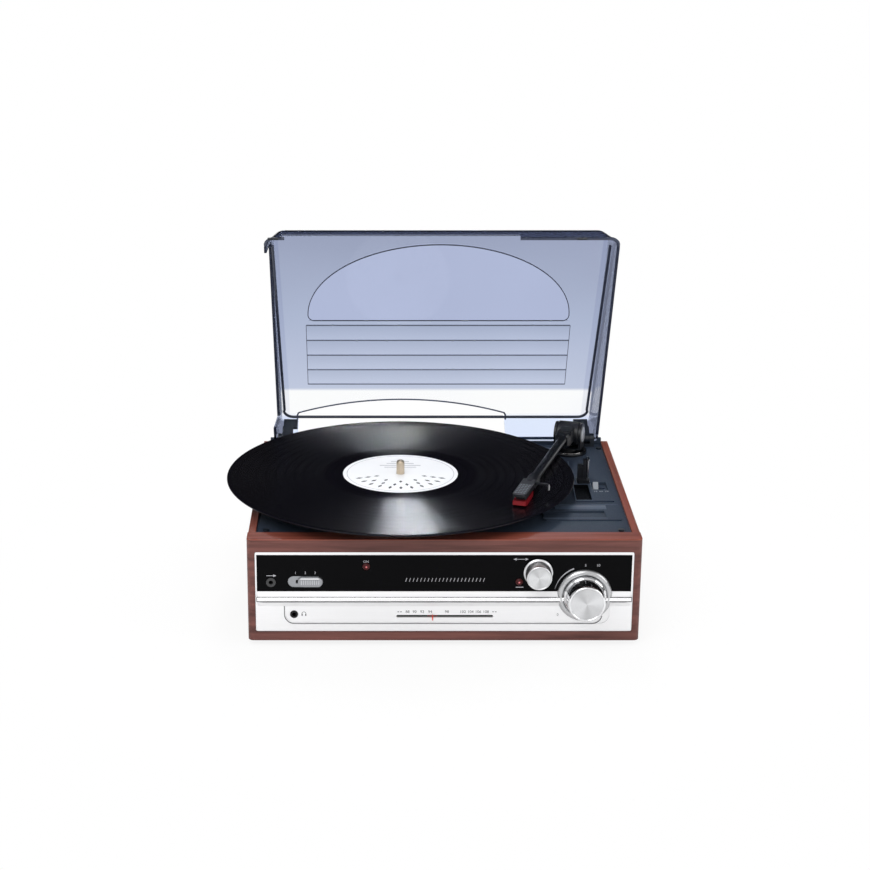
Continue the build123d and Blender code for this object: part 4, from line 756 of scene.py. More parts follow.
class BuildStage(BuildOperator):
    """Set up the camera, the floor, the lamps and the white surroundings"""

    bl_idname = "music_centre.build_stage"
    bl_label = "Stage"
    group = "stage"

    def build(self, values):
        scene = bpy.context.scene
        scene.view_settings.view_transform = "Standard"
        camera = bpy.data.cameras.new("camera")
        camera.lens = values.lens
        camera.sensor_width = 36.0
        camera.shift_x = values.camera_shift
        camera.clip_end = 50.0
        holder = bpy.data.objects.new("camera", camera)
        holder.location = values.camera_place
        holder.rotation_euler = (math.pi / 2 - values.camera_pitch, 0, 0)
        scene.collection.objects.link(holder)
        scene.camera = holder
        self.floor()
        self.world(scene, values)
        self.lamp("key", (-0.7, -1.3, 1.9), (0, 0, 0.05), (1.6, 1.6), 20.0)
        self.lamp("back", (-0.03, 1.3, 1.6), (-0.03, 0, 0.1), (0.34, 1.2), 13.0, glossy=False)
        self.lamp("sheen", (0.03, 1.3, 1.6), (-0.034, -0.2, 0.1), (0.26, 0.3), 0.31, beam=20.0, dull=False)
        self.lamp("side", (1.6, -0.6, 0.9), (0, 0, 0.05), (1.0, 1.0), 5.0)

    def bounced(self, tree):
        """Whether a ray has already met a dull surface, and whether it has met a glossy one."""
        path = add_node(tree, "ShaderNodeLightPath")
        dull = calc(tree, "GREATER_THAN", path.outputs["Diffuse Depth"], 0.5)
        glossy = calc(tree, "GREATER_THAN", path.outputs["Glossy Depth"], 0.5)
        return dull, glossy

    def floor(self):
        size = 6.0
        ground = cad_low[2]
        corners = np.array([(-size, -size, ground), (size, -size, ground), (size, size, ground), (-size, size, ground)])
        mesh = make_mesh("floor", corners, np.array([[0, 1, 2, 3]]), smooth=False)
        material, tree, shader = start_finish("white floor")
        tone = ramp(
            tree,
            speckle(tree, object_pattern(tree, (1, 1, 1)), 3.0, 2.0),
            [(0.3, (0.89, 0.89, 0.89)), (0.7, (0.91, 0.91, 0.91))],
        )
        tree.links.new(tone, shader.inputs["Base Color"])
        set_shader(shader, Roughness=0.9)
        seen = calc(tree, "SUBTRACT", 1.0, calc(tree, "MAXIMUM", *self.bounced(tree)))
        away = calc(
            tree,
            "POWER",
            calc(
                tree,
                "ADD",
                calc(tree, "POWER", along(tree, RIGHT, (0, 0, 0)), 2.0),
                calc(tree, "POWER", along(tree, REAR, (0, 0, 0)), 2.0),
            ),
            0.5,
        )
        share = calc(tree, "MULTIPLY", seen, band(tree, away, 0.16, 0.42, 0.86, 1.0))
        white = add_node(tree, "ShaderNodeEmission", {"Color": (1, 1, 1, 1), "Strength": 1.0})
        mix = add_node(tree, "ShaderNodeMixShader", {0: share, 1: shader.outputs[0], 2: white.outputs[0]})
        tree.links.new(mix.outputs[0], tree.nodes["Material Output"].inputs["Surface"])
        mesh.materials.append(material)
        floor = bpy.data.objects.new("floor", mesh)
        bpy.context.collection.objects.link(floor)

    def world(self, scene, values):
        """White ahead of the camera, dim elsewhere to clear plastic, and bright in front to metal."""
        world = bpy.data.worlds.new("surroundings")
        scene.world = world
        world.use_nodes = True
        tree = world.node_tree
        dull, glossy = self.bounced(tree)
        direction = add_node(tree, "ShaderNodeTexCoord").outputs["Generated"]
        parts = add_node(tree, "ShaderNodeSeparateXYZ", {"Vector": direction}).outputs
        ahead = add_node(
            tree,
            "ShaderNodeVectorMath",
            {0: direction, 1: (0, math.cos(values.camera_pitch), -math.sin(values.camera_pitch))},
            operation="DOT_PRODUCT",
        ).outputs["Value"]
        clear = band(tree, ahead, 0.7, 0.9, 0.12, 1.0)
        studio = band(tree, parts["Y"], 0.1, -0.4, 0.012, 0.9)
        kept = calc(
            tree,
            "ADD",
            calc(tree, "MULTIPLY", glossy, studio),
            calc(tree, "MULTIPLY", calc(tree, "SUBTRACT", 1.0, glossy), clear),
        )
        strength = calc(
            tree,
            "ADD",
            calc(tree, "MULTIPLY", dull, values.soft_light),
            calc(tree, "MULTIPLY", calc(tree, "SUBTRACT", 1.0, dull), kept),
        )
        tree.nodes["Background"].inputs["Color"].default_value = (1, 1, 1, 1)
        tree.links.new(strength, tree.nodes["Background"].inputs["Strength"])

    def lamp(self, name, place, target, size, power, beam=180.0, dull=True, glossy=True):
        """An area lamp, beam degrees wide, which dull or glossy surfaces can be kept from seeing."""
        light = bpy.data.lights.new(name, type="AREA")
        light.shape = "RECTANGLE"
        light.size, light.size_y = size
        light.energy = power
        light.spread = math.radians(beam)
        light.cycles.use_multiple_importance_sampling = dull
        holder = bpy.data.objects.new(name, light)
        holder.location = place
        holder.rotation_euler = (Vector(target) - Vector(place)).to_track_quat("-Z", "Y").to_euler()
        holder.visible_transmission = False
        holder.visible_diffuse = dull
        holder.visible_glossy = glossy
        bpy.context.collection.objects.link(holder)


class BuildCabinet(BuildOperator):
    """Finish the wooden case, its boards, feet and screws"""

    bl_idname = "music_centre.build_cabinet"
    bl_label = "Cabinet"
    group = "cabinet"

    def build(self, values):
        dress(veneer("front veneer", values.wood, 0, values.lipping), "cabinet_front")
        dress(veneer("side veneer", values.wood, 1, values.lipping), "cabinet_left", "cabinet_right")
        dress(moulded("fibre board", values.board, 0.8, 900.0, 0.00005), "cabinet_back", "cabinet_base")
        dress(moulded("block wood", shaded(values.board, 1.2), 0.8, 500.0, 0.00005), "corner_blocks")
        dress(moulded("black rubber", values.rubber, 0.8, 1200.0, 0.00003), "feet")
        dress(brushed("zinc plate", values.steel, 2, 0.35), "base_screws", "hinge_pins")


class BuildDeck(BuildOperator):
    """Finish the deck moulding and add its lips, lighter as painted highlight, the near-black painted shade in its
    recess and the speed numbers
    """

    bl_idname = "music_centre.build_deck"
    bl_label = "Deck"
    group = "deck"

    def build(self, values):
        deck = moulded("deck plastic", values.plastic, 0.55, 1400.0, 0.00004, variation=0.06, specular=0.2)
        dress(deck, "deck_plate")
        dark = moulded("hinge plastic", shaded(values.plastic, 0.35), 0.4)
        dress(
            dark,
            "hinge_bracket_left",
            "hinge_bracket_right",
            "hinge_leaf_left",
            "hinge_leaf_right",
            "lid_bumpers",
            "deck_screws",
        )
        self.lips(values)
        self.numbers(values)

    def lips(self, values):
        """Raised lips round the finger recess and along the tray, and a flat strip on the tray's facet, in a lighter
        copy of the deck plastic as painted highlight on these edges.
        """
        top = span("deck_plate")[1][2] - 5.0 * MM
        paths = (
            [(118.6, 72, top), (117.6, 30, top), (115.8, -31.5, top), (130.4, -31.5, top)],
            [(100, -43.2, top + 0.2 * MM), (150.2, -43.2, top + 0.2 * MM)],
            [(84, -76.2, top + 0.2 * MM), (138, -76.2, top + 0.2 * MM)],
        )
        meshes = []
        for path in paths:
            points = np.array([(x * MM, y * MM, z) for x, y, z in path])
            meshes.append(ribbon("lip", self.dense(points), 0.9 * MM, 0.25 * MM, UP))
        facet = np.array([(96 * MM, -49.5 * MM, top + 0.2 * MM), (139.5 * MM, -49.5 * MM, top + 0.2 * MM)])
        meshes.append(ribbon("facet", self.dense(facet), 9.5 * MM, 0.2 * MM, UP))
        self.recess(values, top)
        # Painted highlight: the lips and the facet strip are a lighter copy of the deck plastic.
        light = moulded("lip highlight plastic", shaded(values.plastic, 2.0), 0.45)
        place("deck_highlight_lips", joined("deck_highlight_lips", meshes), "cabinet", light, "deck_black")

    def recess(self, values, top):
        """A near-black sheet in the finger recess as painted shade for its dark hollow: x = sign(cos t) (a - r) + r cos
        t, and y alike.
        """
        t = (np.arange(48) + 0.5) / 48 * TURN
        corner, half_width, half_length = 1.9 * MM, 6.65 * MM, 19.85 * MM
        across = np.sign(np.cos(t)) * (half_width - corner) + corner * np.cos(t)
        back = np.sign(np.sin(t)) * (half_length - corner) + corner * np.sin(t)
        rows = ((0.01, top - 3.1 * MM), (1.0, top - 3.1 * MM), (1.0, top - 0.1 * MM))
        points = [np.stack([0.1232 + f * across, -0.011 + f * back, np.full(48, z)], axis=-1) for f, z in rows]
        mesh = make_mesh("finger_recess", np.array(points), grid_faces(3, 48, wrap_columns=True), smooth=False)
        # Painted shade: a near-black copy of the deck plastic fills the recess.
        recess_shade = moulded("recess shade plastic", shaded(values.plastic, 0.05), 0.7, specular=0.05)
        place("finger_recess_shade", mesh, "cabinet", recess_shade, "deck_black")

    def dense(self, points, steps=24):
        """Even points along a broken line."""
        run = np.concatenate([[0], np.cumsum(np.linalg.norm(np.diff(points, axis=0), axis=1))])
        at = np.unique(np.concatenate([np.linspace(0, run[-1], steps), run]))
        return np.stack([np.interp(at, run, points[:, i]) for i in range(3)], axis=-1)

    def numbers(self, values):
        low, high = span("speed_knob")
        top = span("deck_plate")[1][2] - 5.0 * MM
        meshes = [
            lettering(text, values.mark_size, (x * MM, -9.2 * MM, top), RIGHT, REAR, 0.1 * MM)
            for text, x in (("33", 135.0), ("45", 139.8), ("78", 144.6))
        ]
        ink = moulded("deck print", values.mark, 0.6, 2000.0, 0.000005)
        place("speed_numbers", joined("speed_numbers", meshes), "cabinet", ink, "deck_black")


class BuildPlatter(BuildOperator):
    """Finish the platter and its drive"""

    bl_idname = "music_centre.build_platter"
    bl_label = "Platter and drive"
    group = "cabinet"

    def build(self, values):
        dress(brushed("cast platter", (0.45, 0.46, 0.48), 2, 0.45), "platter", "motor")
        dress(moulded("drive rubber", values.rubber, 0.85), "platter_mat", "drive_belt")
        dress(brushed("turned brass", (0.78, 0.60, 0.30), 2, 0.3), "bearing_bush", "motor_pulley")


class BuildRecord(BuildOperator):
    """Press the record, print its label and finish the spindle"""

    bl_idname = "music_centre.build_record"
    bl_label = "Record"
    group = "record"

    def build(self, values):
        low, high = span("record")
        centre = (low + high) / 2
        radius = (high[0] - low[0]) / 2
        top, bottom = high[2], low[2]
        label_low, label_high = span("record_label")
        label_radius = (label_high[0] - label_low[0]) / 2
        hole = 3.65 * MM
        outer, inner = radius - 4.5 * MM, label_radius + 12 * MM
        count = int((outer - inner) / values.groove_pitch * 4)
        along_groove = np.linspace(outer, inner, count)
        ripple = 0.5 - 0.5 * np.cos((outer - along_groove) / values.groove_pitch * TURN)
        edges = np.linspace(outer, inner, values.tracks + 1)[1:-1]
        gap = np.min(np.abs(along_groove[:, None] - edges[None, :]), axis=1) < 0.9 * MM
        height = top - values.groove_depth * np.where(gap, 1.6, ripple)
        edge = [
            (radius - 3.2 * MM, top),
            (radius - 0.9 * MM, top),
            (radius - 0.35 * MM, top - 0.25 * MM),
            (radius, top - 0.7 * MM),
            (radius, bottom + 0.7 * MM),
            (radius - 0.35 * MM, bottom + 0.25 * MM),
            (radius - 0.9 * MM, bottom),
        ]
        run_out = [(inner - 1.5 * MM, top - 0.05 * MM), (label_radius + 1.0 * MM, top - 0.05 * MM)]
        profile = (
            edge[::-1]
            + list(zip(along_groove, height))
            + run_out
            + [(label_radius + 0.4 * MM, top), (hole, top), (hole, bottom)]
        )
        profile = [(r, h - top) for r, h in profile]
        mesh = turned_mesh("record", profile, (centre[0], centre[1], top), steps=240, closed=True, crisp=50)
        vinyl = grooved_vinyl("pressed vinyl", values.vinyl)
        place("record_disc", mesh, "platter", vinyl, "vinyl", ["record"])
        paper = moulded("label paper", values.label, 0.7, 1800.0, 0.00002, variation=0.02, specular=0.2)
        dress(paper, "record_label")
        dress(brushed("spindle metal", (0.62, 0.52, 0.40), 2, 0.3), "spindle")
        self.artwork(values, np.array([centre[0], centre[1], label_high[2]]))

    def artwork(self, values, centre):
        """A plain design: dark diamonds in a fan low down, short faint lines above, a ring round."""
        dark, faint = [], []
        for ring, count, size in ((38, 11, 3.4), (30, 8, 3.0), (22, 5, 2.6)):
            for degrees in np.linspace(200, 340, count):
                spot = arc(centre, ring * MM, degrees, degrees, RIGHT, REAR, 1)[0]
                out = arc((0, 0, 0), 1.0, degrees, degrees, RIGHT, REAR, 1)[0]
                path = [spot - out * size * MM, spot, spot + out * size * MM]
                outline = [(-0.9 * MM, 0), (0.9 * MM, 0), (0.9 * MM, 0.04 * MM), (-0.9 * MM, 0.04 * MM)]
                dark.append(swept_mesh("diamond", path, outline, up=UP, scale=[0.1, 1.6, 0.1]))
        for row, half in ((16, 14), (21, 18), (26, 12), (31, 8)):
            ends = np.array([(-half, row, 0), (half, row, 0)]) * MM + centre
            faint.append(ribbon("line", ends, 1.5 * MM, 0.04 * MM, UP))
        circle = arc(centre, 46.5 * MM, 0, 360, RIGHT, REAR, 73)
        faint.append(ribbon("ring", circle, 0.5 * MM, 0.04 * MM, UP))
        ink = moulded("label ink", values.ink, 0.6, 1500.0, 0.000005)
        pale = moulded("label faint ink", values.faint_ink, 0.6, 1500.0, 0.000005)
        place("label_diamonds", joined("label_diamonds", dark), "platter", ink, "label_paper")
        place("label_lines", joined("label_lines", faint), "platter", pale, "label_paper")


class BuildTonearm(BuildOperator):
    """Finish the tonearm, its base, its rest and its stylus, and add its ribs and end cap; the ribs, a pad on the lift
    and a ring round the base carry painted highlights
    """

    bl_idname = "music_centre.build_tonearm"
    bl_label = "Tonearm"
    group = "tonearm"

    def build(self, values):
        black = moulded("arm plastic", values.black, 0.35, 1600.0, 0.00002, specular=0.4)
        dress(black, "arm_barrel", "arm_yoke", "arm_rest", "headshell")
        dress(moulded("base plastic", values.black, 0.16, 900.0, 0.00001), "arm_base")
        dress(brushed("arm lacquer", shaded(values.black, 1.6), 1, 0.3, metallic=0.4), "arm_tube")
        dress(moulded("cartridge plastic", shaded(values.black, 0.6), 0.25), "cartridge")
        dress(moulded("stylus plastic", values.stylus, 0.3, specular=0.2), "stylus")
        dress(brushed("clip metal", (0.22, 0.23, 0.25), 2, 0.2), "arm_clip")
        dress(moulded("selector plastic", (0.26, 0.28, 0.31), 0.4), "speed_knob")
        top = span("headshell")[1][2]
        ribs = []
        for reach in np.linspace(176, 196, values.ribs):
            for across in (-3.6, -1.2, 1.2, 3.6):
                ends = np.array([arm_point(x * MM, reach * MM, top) for x in (across - 0.75, across + 0.75)])
                ribs.append(ribbon("rib", ends, 1.5 * MM, 0.35 * MM, UP))
        # Painted highlight: the ribs are moulded, and their lighter grey stands for light on their tops.
        rib_highlight_plastic = moulded("rib highlight plastic", (0.16, 0.18, 0.21), 0.35)
        place("headshell_ribs", joined("headshell_ribs", ribs), "tonearm", rib_highlight_plastic, "arm_black")
        self.socket(black)
        self.cap(values)
        self.lift_tip_highlight(values)
        self.base_highlight_ring(values)

    def socket(self, black):
        """The faceted block that carries the tube's root in front of the barrel."""
        middle_height = 106.2 * MM
        path = [arm_point(-0.5 * MM, reach * MM, middle_height) for reach in (9, 12, 27, 30)]
        outline = [(-7.2, -4.5), (-3.5, -7.2), (3.5, -7.2), (7.2, -4.5), (7.2, 4.6), (5.0, 7.0), (-5.0, 7.0), (-7.2, 4.6)]
        mesh = swept_mesh("arm_socket", path, np.array(outline) * MM, up=UP, scale=[1.0, 1.0, 0.95, 0.72], crisp=25.0)
        place("arm_socket", mesh, "tonearm", black, "arm_black")

    def cap(self, values):
        """The pale disc on the right end of the pivot."""
        height = 105 * MM
        right = np.array([math.cos(ARM_ANGLE), -math.sin(ARM_ANGLE), 0])
        centre = arm_point(12.5 * MM, 0, height)
        ahead = np.array([-math.sin(ARM_ANGLE), -math.cos(ARM_ANGLE), 0])
        path = [centre, centre + right * 0.5 * MM, centre + right * 0.9 * MM]
        angle = np.linspace(0, TURN, 40, endpoint=False)
        outline = np.stack([np.cos(angle), np.sin(angle)], axis=-1) * 7.2 * MM
        mesh = swept_mesh("pivot_cap", path, outline, up=UP, scale=[1.0, 1.0, 0.9])
        place("pivot_cap", mesh, "arm_swivel", moulded("cap plastic", values.cap, 0.3), "arm_black")

    def lift_tip_highlight(self, values):
        """A pale pad on the finger lift's tip, as painted highlight where light catches the tip."""
        top = span("headshell")[1][2]
        path = [arm_point(17.5 * MM, 165.5 * MM, top - drop * MM) for drop in (1.5, 3.0, 6.2)]
        outline = [(-1.2 * MM, -0.8 * MM), (1.2 * MM, -0.8 * MM), (1.2 * MM, 0.8 * MM), (-1.2 * MM, 0.8 * MM)]
        mesh = swept_mesh("lift_tip_highlight", path, outline, up=FRONT, scale=[0.7, 1.0, 0.8])
        place("lift_tip_highlight", mesh, "tonearm", moulded("tip highlight plastic", (0.42, 0.42, 0.44), 0.3), "arm_black")

    def base_highlight_ring(self, values):
        """A bright ring round the top of the arm's base, put there as painted highlight on the base's rounded top edge.
        """
        low, high = span("arm_base")
        centre = np.array([(low[0] + high[0]) / 2, (low[1] + high[1]) / 2, high[2] - 2.2 * MM])
        path = arc(centre, 15.0 * MM, 0, 360, RIGHT, REAR, 73)
        mesh = bead("base_highlight_ring", path, 0.45 * MM, UP, 8)
        place("base_highlight_ring", mesh, "cabinet", brushed("ring highlight metal", (0.55, 0.53, 0.52), 2, 0.15), "deck_black")


class BuildLid(BuildOperator):
    """Finish the smoked clear lid and add its moulded lines and edges"""

    bl_idname = "music_centre.build_lid"
    bl_label = "Lid"
    group = "lid"

    def build(self, values):
        dress(smoked_clear("smoked clear", values.tint, values.haze), "lid")
        line = moulded("lid line", values.line, 0.35, 500.0, 0.000005)
        thin = values.line_radius
        place("lid_ellipse", self.ellipse(thin), "lid", line, "lid_smoke")
        place("lid_louvres", self.louvres(thin), "lid", line, "lid_smoke")
        place("lid_frame", self.frame_line(1.3 * MM), "lid", line, "lid_smoke")
        edge = moulded("lid edge", shaded(values.line, 1.5), 0.3, 500.0, 0.000005)
        place("lid_edges", self.edges(values), "lid", edge, "lid_smoke")
        arch = moulded("arch edge", shaded(values.line, 3.0), 0.3, 500.0, 0.000005)
        place("lid_arch", self.arch_line(values), "lid", arch, "lid_smoke")

    def panel_face(self):
        """The height of the panel's inner face above the hinge."""
        return 24.5 * MM

    def ellipse(self, radius):
        """The half ellipse with rounded lower corners: x = 116.5 cos t, depth = 131 + 81.5 sin t."""
        angle = np.radians(np.linspace(0, 180, 90))
        points = [lid_point(116.5 * MM * math.cos(t), (131 + 81.5 * math.sin(t)) * MM, self.panel_face()) for t in angle]
        corner = np.radians(np.linspace(0, 80, 8))
        left = [
            lid_point(-(116.5 - 6 * (1 - math.cos(t))) * MM, (131 - 6.4 * math.sin(t)) * MM, self.panel_face())
            for t in corner
        ]
        right = [
            lid_point((116.5 - 6 * (1 - math.cos(t))) * MM, (131 - 6.4 * math.sin(t)) * MM, self.panel_face())
            for t in corner[::-1]
        ]
        return bead("lid_ellipse", points + left[1:] + right, radius, LID_OUT, 8)

    def louvres(self, radius):
        meshes = []
        for i in range(5):
            depth = (46.0 + 18.2 * i) * MM
            ends = [lid_point(x * MM, depth, self.panel_face()) for x in np.linspace(-118.5, 118.5, 12)]
            meshes.append(bead("louvre", ends, radius * 0.8, LID_OUT, 8))
        for side in (-1, 1):
            ends = [lid_point(side * 118.5 * MM, depth * MM, self.panel_face()) for depth in np.linspace(46, 118.8, 8)]
            meshes.append(bead("louvre end", ends, radius * 0.6, LID_OUT, 8))
        return joined("lid_louvres", meshes)

    def frame_line(self, radius):
        """The line where the walls meet the panel, which climbs the side walls towards the front."""
        points = []
        for side in (1, -1):
            run = np.linspace(0, 1, 16)[:: -1 if side > 0 else 1]
            for share in run:
                depth = 13.0 + 211.0 * share
                height = 23.9 - 14.5 * share
                across = 148.1 - (height + 3.8) / 30.5 * 6.0 - radius / MM
                points.append(lid_point(side * across * MM, depth * MM, height * MM))
            if side > 0:
                for degrees in np.linspace(10, 90, 7):
                    t = math.radians(degrees)
                    points.append(lid_point((133.2 + 9 * math.cos(t)) * MM, (13 - 9 * math.sin(t)) * MM, 24.0 * MM))
                for across in np.linspace(120, -120, 9):
                    points.append(lid_point(across * MM, 4 * MM, 24.0 * MM))
                for degrees in np.linspace(90, 170, 7):
                    t = math.radians(degrees)
                    points.append(lid_point((9 * math.cos(t) - 133.2) * MM, (13 - 9 * math.sin(t)) * MM, 24.0 * MM))
        return bead("lid_frame", points, radius, LID_OUT, 8)

    def edges(self, values):
        """Beads along the rims of the side walls and the front wall."""
        rim = -3.0 * MM
        meshes = []
        runs = ((1, 149.2, -2.6, 8, 236), (-1, 146.1, 12.4, 18, 226), (-1, 149.2, -2.6, 228, 236), (-1, 149.2, -2.6, 8, 16))
        for side, across, height, near, far in runs:
            run = [lid_point(side * across * MM, d * MM, height * MM) for d in np.linspace(near, far, 12)]
            meshes.append(bead("rim", run, 1.25 * MM, LID_OUT, 8))
        for start, stop in ((66, 143), (-143, -133)):
            front = [lid_point(x * MM, 242.3 * MM, rim) for x in np.linspace(start, stop, 8)]
            meshes.append(bead("rim", front, 1.35 * MM, LID_OUT, 8))
        for side in (1, -1):
            corner = [
                lid_point(side * (141.3 + 8 * math.cos(t)) * MM, (235 + 7.4 * math.sin(t)) * MM, rim)
                for t in np.radians(np.linspace(0, 90, 8))
            ]
            meshes.append(bead("rim", corner, 1.35 * MM, LID_OUT, 8))
        top = [lid_point(x * MM, 226.6 * MM, 24.0 * MM) for x in np.linspace(-136, 136, 12)]
        meshes.append(bead("crown", top, 0.7 * MM, LID_OUT, 8))
        return joined("lid_edges", meshes)

    def arch_line(self, values):
        """The thick lip of the arched cut-out."""
        centre = middle("record")[0] + 2.5 * MM
        rise, shoulder, half = 25.5, 8.0, 96.5
        radius = (half**2 + (rise - shoulder) ** 2) / (2 * (rise - shoulder))
        spread = math.asin(half / radius)
        points = [
            lid_point(centre + radius * math.sin(t) * MM, (rise + radius * (math.cos(t) - 1)) * MM, 25.7 * MM)
            for t in np.linspace(-spread, spread, 40)
        ]
        for side in (-1, 1):
            corner = [
                lid_point(centre + side * (half - 0.5 + shift) * MM, depth * MM, 25.7 * MM)
                for shift, depth in ((0.8, 7.0), (1.6, 5.0), (1.8, 1.0), (1.8, -1.5))
            ]
            points = corner[::-1] + points if side < 0 else points + corner
        return bead("lid_arch", points, 0.8 * MM, LID_OUT, 8)


class BuildFascia(BuildOperator):
    """Finish the bezel, the gloss panel, the switch, the lights and the sockets"""

    bl_idname = "music_centre.build_fascia"
    bl_label = "Fascia"
    group = "fascia"

    def build(self, values):
        dress(brushed("silver bezel", values.silver, 0, 0.38, 0.7, 0.000002, 0.015), "fascia_frame")
        gloss = moulded("gloss panel", values.panel, 0.09, 300.0, 0.000001, specular=0.05)
        dress(gloss, "fascia_panel")
        self.border(gloss)
        self.trim()
        dress(
            moulded("socket black", (0.006, 0.006, 0.007), 0.3, specular=0.3),
            "headphone_socket",
            "dial_backing",
            "mains_inlet",
        )
        dress(moulded("socket grey", (0.03, 0.03, 0.032), 0.3), "aux_socket")
        dress(brushed("switch metal", (0.34, 0.35, 0.37), 0, 0.4), "switch_plate", "function_slider")
        self.lights(values)
        dress(moulded("pointer red", (0.7, 0.10, 0.07), 0.35), "dial_pointer")
        self.lines(values)
        self.dial(values)
        self.marks(values)
        self.slider_ribs(values)

    def at(self, x, z, y):
        """A place on the fascia from millimetres across and up."""
        return np.array([x * MM, y, z * MM])

    def border(self, gloss):
        """The gloss panel's edge, lapped a little over the bezel."""
        face = span("fascia_frame")[0][1] + 2.0 * MM
        left, right, low, high = -153.1, 152.9, 43.2, 75.5
        face = span("cabinet_front")[0][1] + 0.4 * MM
        meshes = [
            ribbon("edge", [self.at(x, low + 0.4, face), self.at(x, high - 0.4, face)], 1.2 * MM, 0.1 * MM, FRONT)
            for x in (left + 0.6, right - 0.6)
        ]
        ends = [self.at(left, high - 0.3, face), self.at(right, high - 0.3, face)]
        meshes.append(ribbon("edge", ends, 0.6 * MM, 0.1 * MM, FRONT))
        place("panel_edge", joined("panel_edge", meshes), "cabinet", gloss, "panel_black")

    def trim(self):
        """The bright bar along the nose, with its face slightly rounded."""
        low, high = span("trim_bar")
        front = low[1]
        back = front + 1.6 * MM
        outline = [(-1.65, 0), (1.65, 0), (1.65, 1.2), (1.2, 1.6), (-1.2, 1.6), (-1.65, 1.2)]
        path = [self.at(x, 37.35, back) for x in (-152.9, -60, 60, 153.0)]
        mesh = swept_mesh("trim_strip", path, np.array(outline) * MM, up=FRONT)
        chrome = brushed("bright trim", (0.97, 0.97, 0.975), 0, 0.2, 0.9, 0.000001, 0.01)
        place("trim_strip", mesh, "cabinet", chrome, "bright_metal", ["trim_bar"])

    def lights(self, values):
        """Dark red domes, each with a small pale glowing tip on it as painted highlight."""
        face = span("fascia_panel")[0][1]
        dome = [(0.0, -1.5), (2.9, -1.5), (3.0, 0.1), (2.7, 0.7), (1.9, 1.25), (0.9, 1.5), (0.0, 1.55)]
        tip = [(0.0, 1.5), (0.75, 1.5), (0.6, 1.62), (0.0, 1.68)]
        domes, tips = [], []
        for x, z in ((-63.6, 65.3), (61.3, 51.7)):
            centre = self.at(x, z, face)
            domes.append(turned_mesh("dome", [(r * MM, h * MM) for r, h in dome], centre, axis="F", steps=40))
            tips.append(turned_mesh("tip", [(r * MM, h * MM) for r, h in tip], centre, axis="F", steps=24))
        lens = glowing("indicator lens", shaded(values.light, 0.4), 0.15)
        # Painted highlight: the pale tips glow in place of the glint of light on each dome.
        painted_glint = glowing("indicator spark", (0.62, 0.16, 0.17), 0.2)
        place("light_domes", joined("light_domes", domes), "cabinet", lens, "light_red", ["indicator_lights"])
        place("painted_glint_tips", joined("painted_glint_tips", tips), "cabinet", painted_glint, "light_red")

    def lines(self, values):
        """The dark line round the pan, and the dark frame round the trim bar, which is painted shade in the gaps round
        the bar and widest below it.
        """
        face = span("cabinet_front")[0][1] + 0.4 * MM
        pan = [self.at(-130.9, z, face) for z in (30.6, 27, 23.1)]
        pan += list(arc(self.at(-122.7, 23.1, face), 8.2 * MM, 180, 270, RIGHT, UP, 9))
        pan += [self.at(x, 14.9, face) for x in (-110, -40, 40, 100, 121.8)]
        pan += list(arc(self.at(121.8, 23.1, face), 8.2 * MM, 270, 350, RIGHT, UP, 9))
        meshes = [ribbon("pan", np.array(pan), 0.55 * MM, 0.06 * MM, FRONT)]
        # Painted shade: dark lines in the gaps round the trim bar, the lower one wider as the bar's shadow.
        proud = span("trim_bar")[0][1] + 0.5 * MM
        for z, width, back in ((39.35, 0.6, -0.25), (35.4, 0.75, 0)):
            ends = [self.at(x, z, proud + back * MM) for x in (-153.1, 153.3)]
            meshes.append(ribbon("bar", ends, width * MM, 0.1 * MM, FRONT))
        for x in (-153.2, 153.3):
            ends = [self.at(x, 35.3, proud), self.at(x, 39.4, proud)]
            meshes.append(ribbon("bar", ends, 0.5 * MM, 0.1 * MM, FRONT))
        place(
            "fascia_lines", joined("fascia_lines", meshes), "cabinet", moulded("line grey", (0.05, 0.05, 0.055), 0.5), "panel_black"
        )

    def dial(self, values):
        """Plain numbers over the dial with two dashes at each end of their row, the headphones sign and a nought."""
        face = span("cabinet_front")[0][1] + 1.0 * MM
        numbers = (
            ("88", -29.75),
            ("90", -24.0),
            ("92", -17.8),
            ("94", -11.25),
            ("98", 2.5),
            ("102", 15.6),
            ("104", 21.9),
            ("106", 28.2),
            ("108", 34.6),
        )
        meshes = [
            lettering(text, values.number_size, self.at(x, 25.2, face), RIGHT, UP, 0.08 * MM) for text, x in numbers
        ]
        for x in (-37.4, -35.2, 40.4, 42.6):
            meshes.append(ribbon("dash", [self.at(x - 0.7, 25.2, face), self.at(x + 0.7, 25.2, face)], 0.6 * MM, 0.06 * MM, FRONT))
        phones = [
            ribbon("band", arc(self.at(-114.9, 23.6, face), 1.6 * MM, 0, 180, RIGHT, UP, 16), 0.4 * MM, 0.06 * MM, FRONT)
        ]
        for x in (-116.4, -113.4):
            phones.append(ribbon("cup", [self.at(x, 23.5, face), self.at(x, 21.6, face)], 0.9 * MM, 0.06 * MM, FRONT))
        meshes += phones
        meshes.append(lettering("0", 3.2 * MM, self.at(93.5, 22.6, face), RIGHT, UP, 0.08 * MM))
        ink = moulded("dark print", values.print_dark, 0.5, 2000.0, 0.000005)
        place("dial_numbers", joined("dial_numbers", meshes), "cabinet", ink, "silver_plastic")

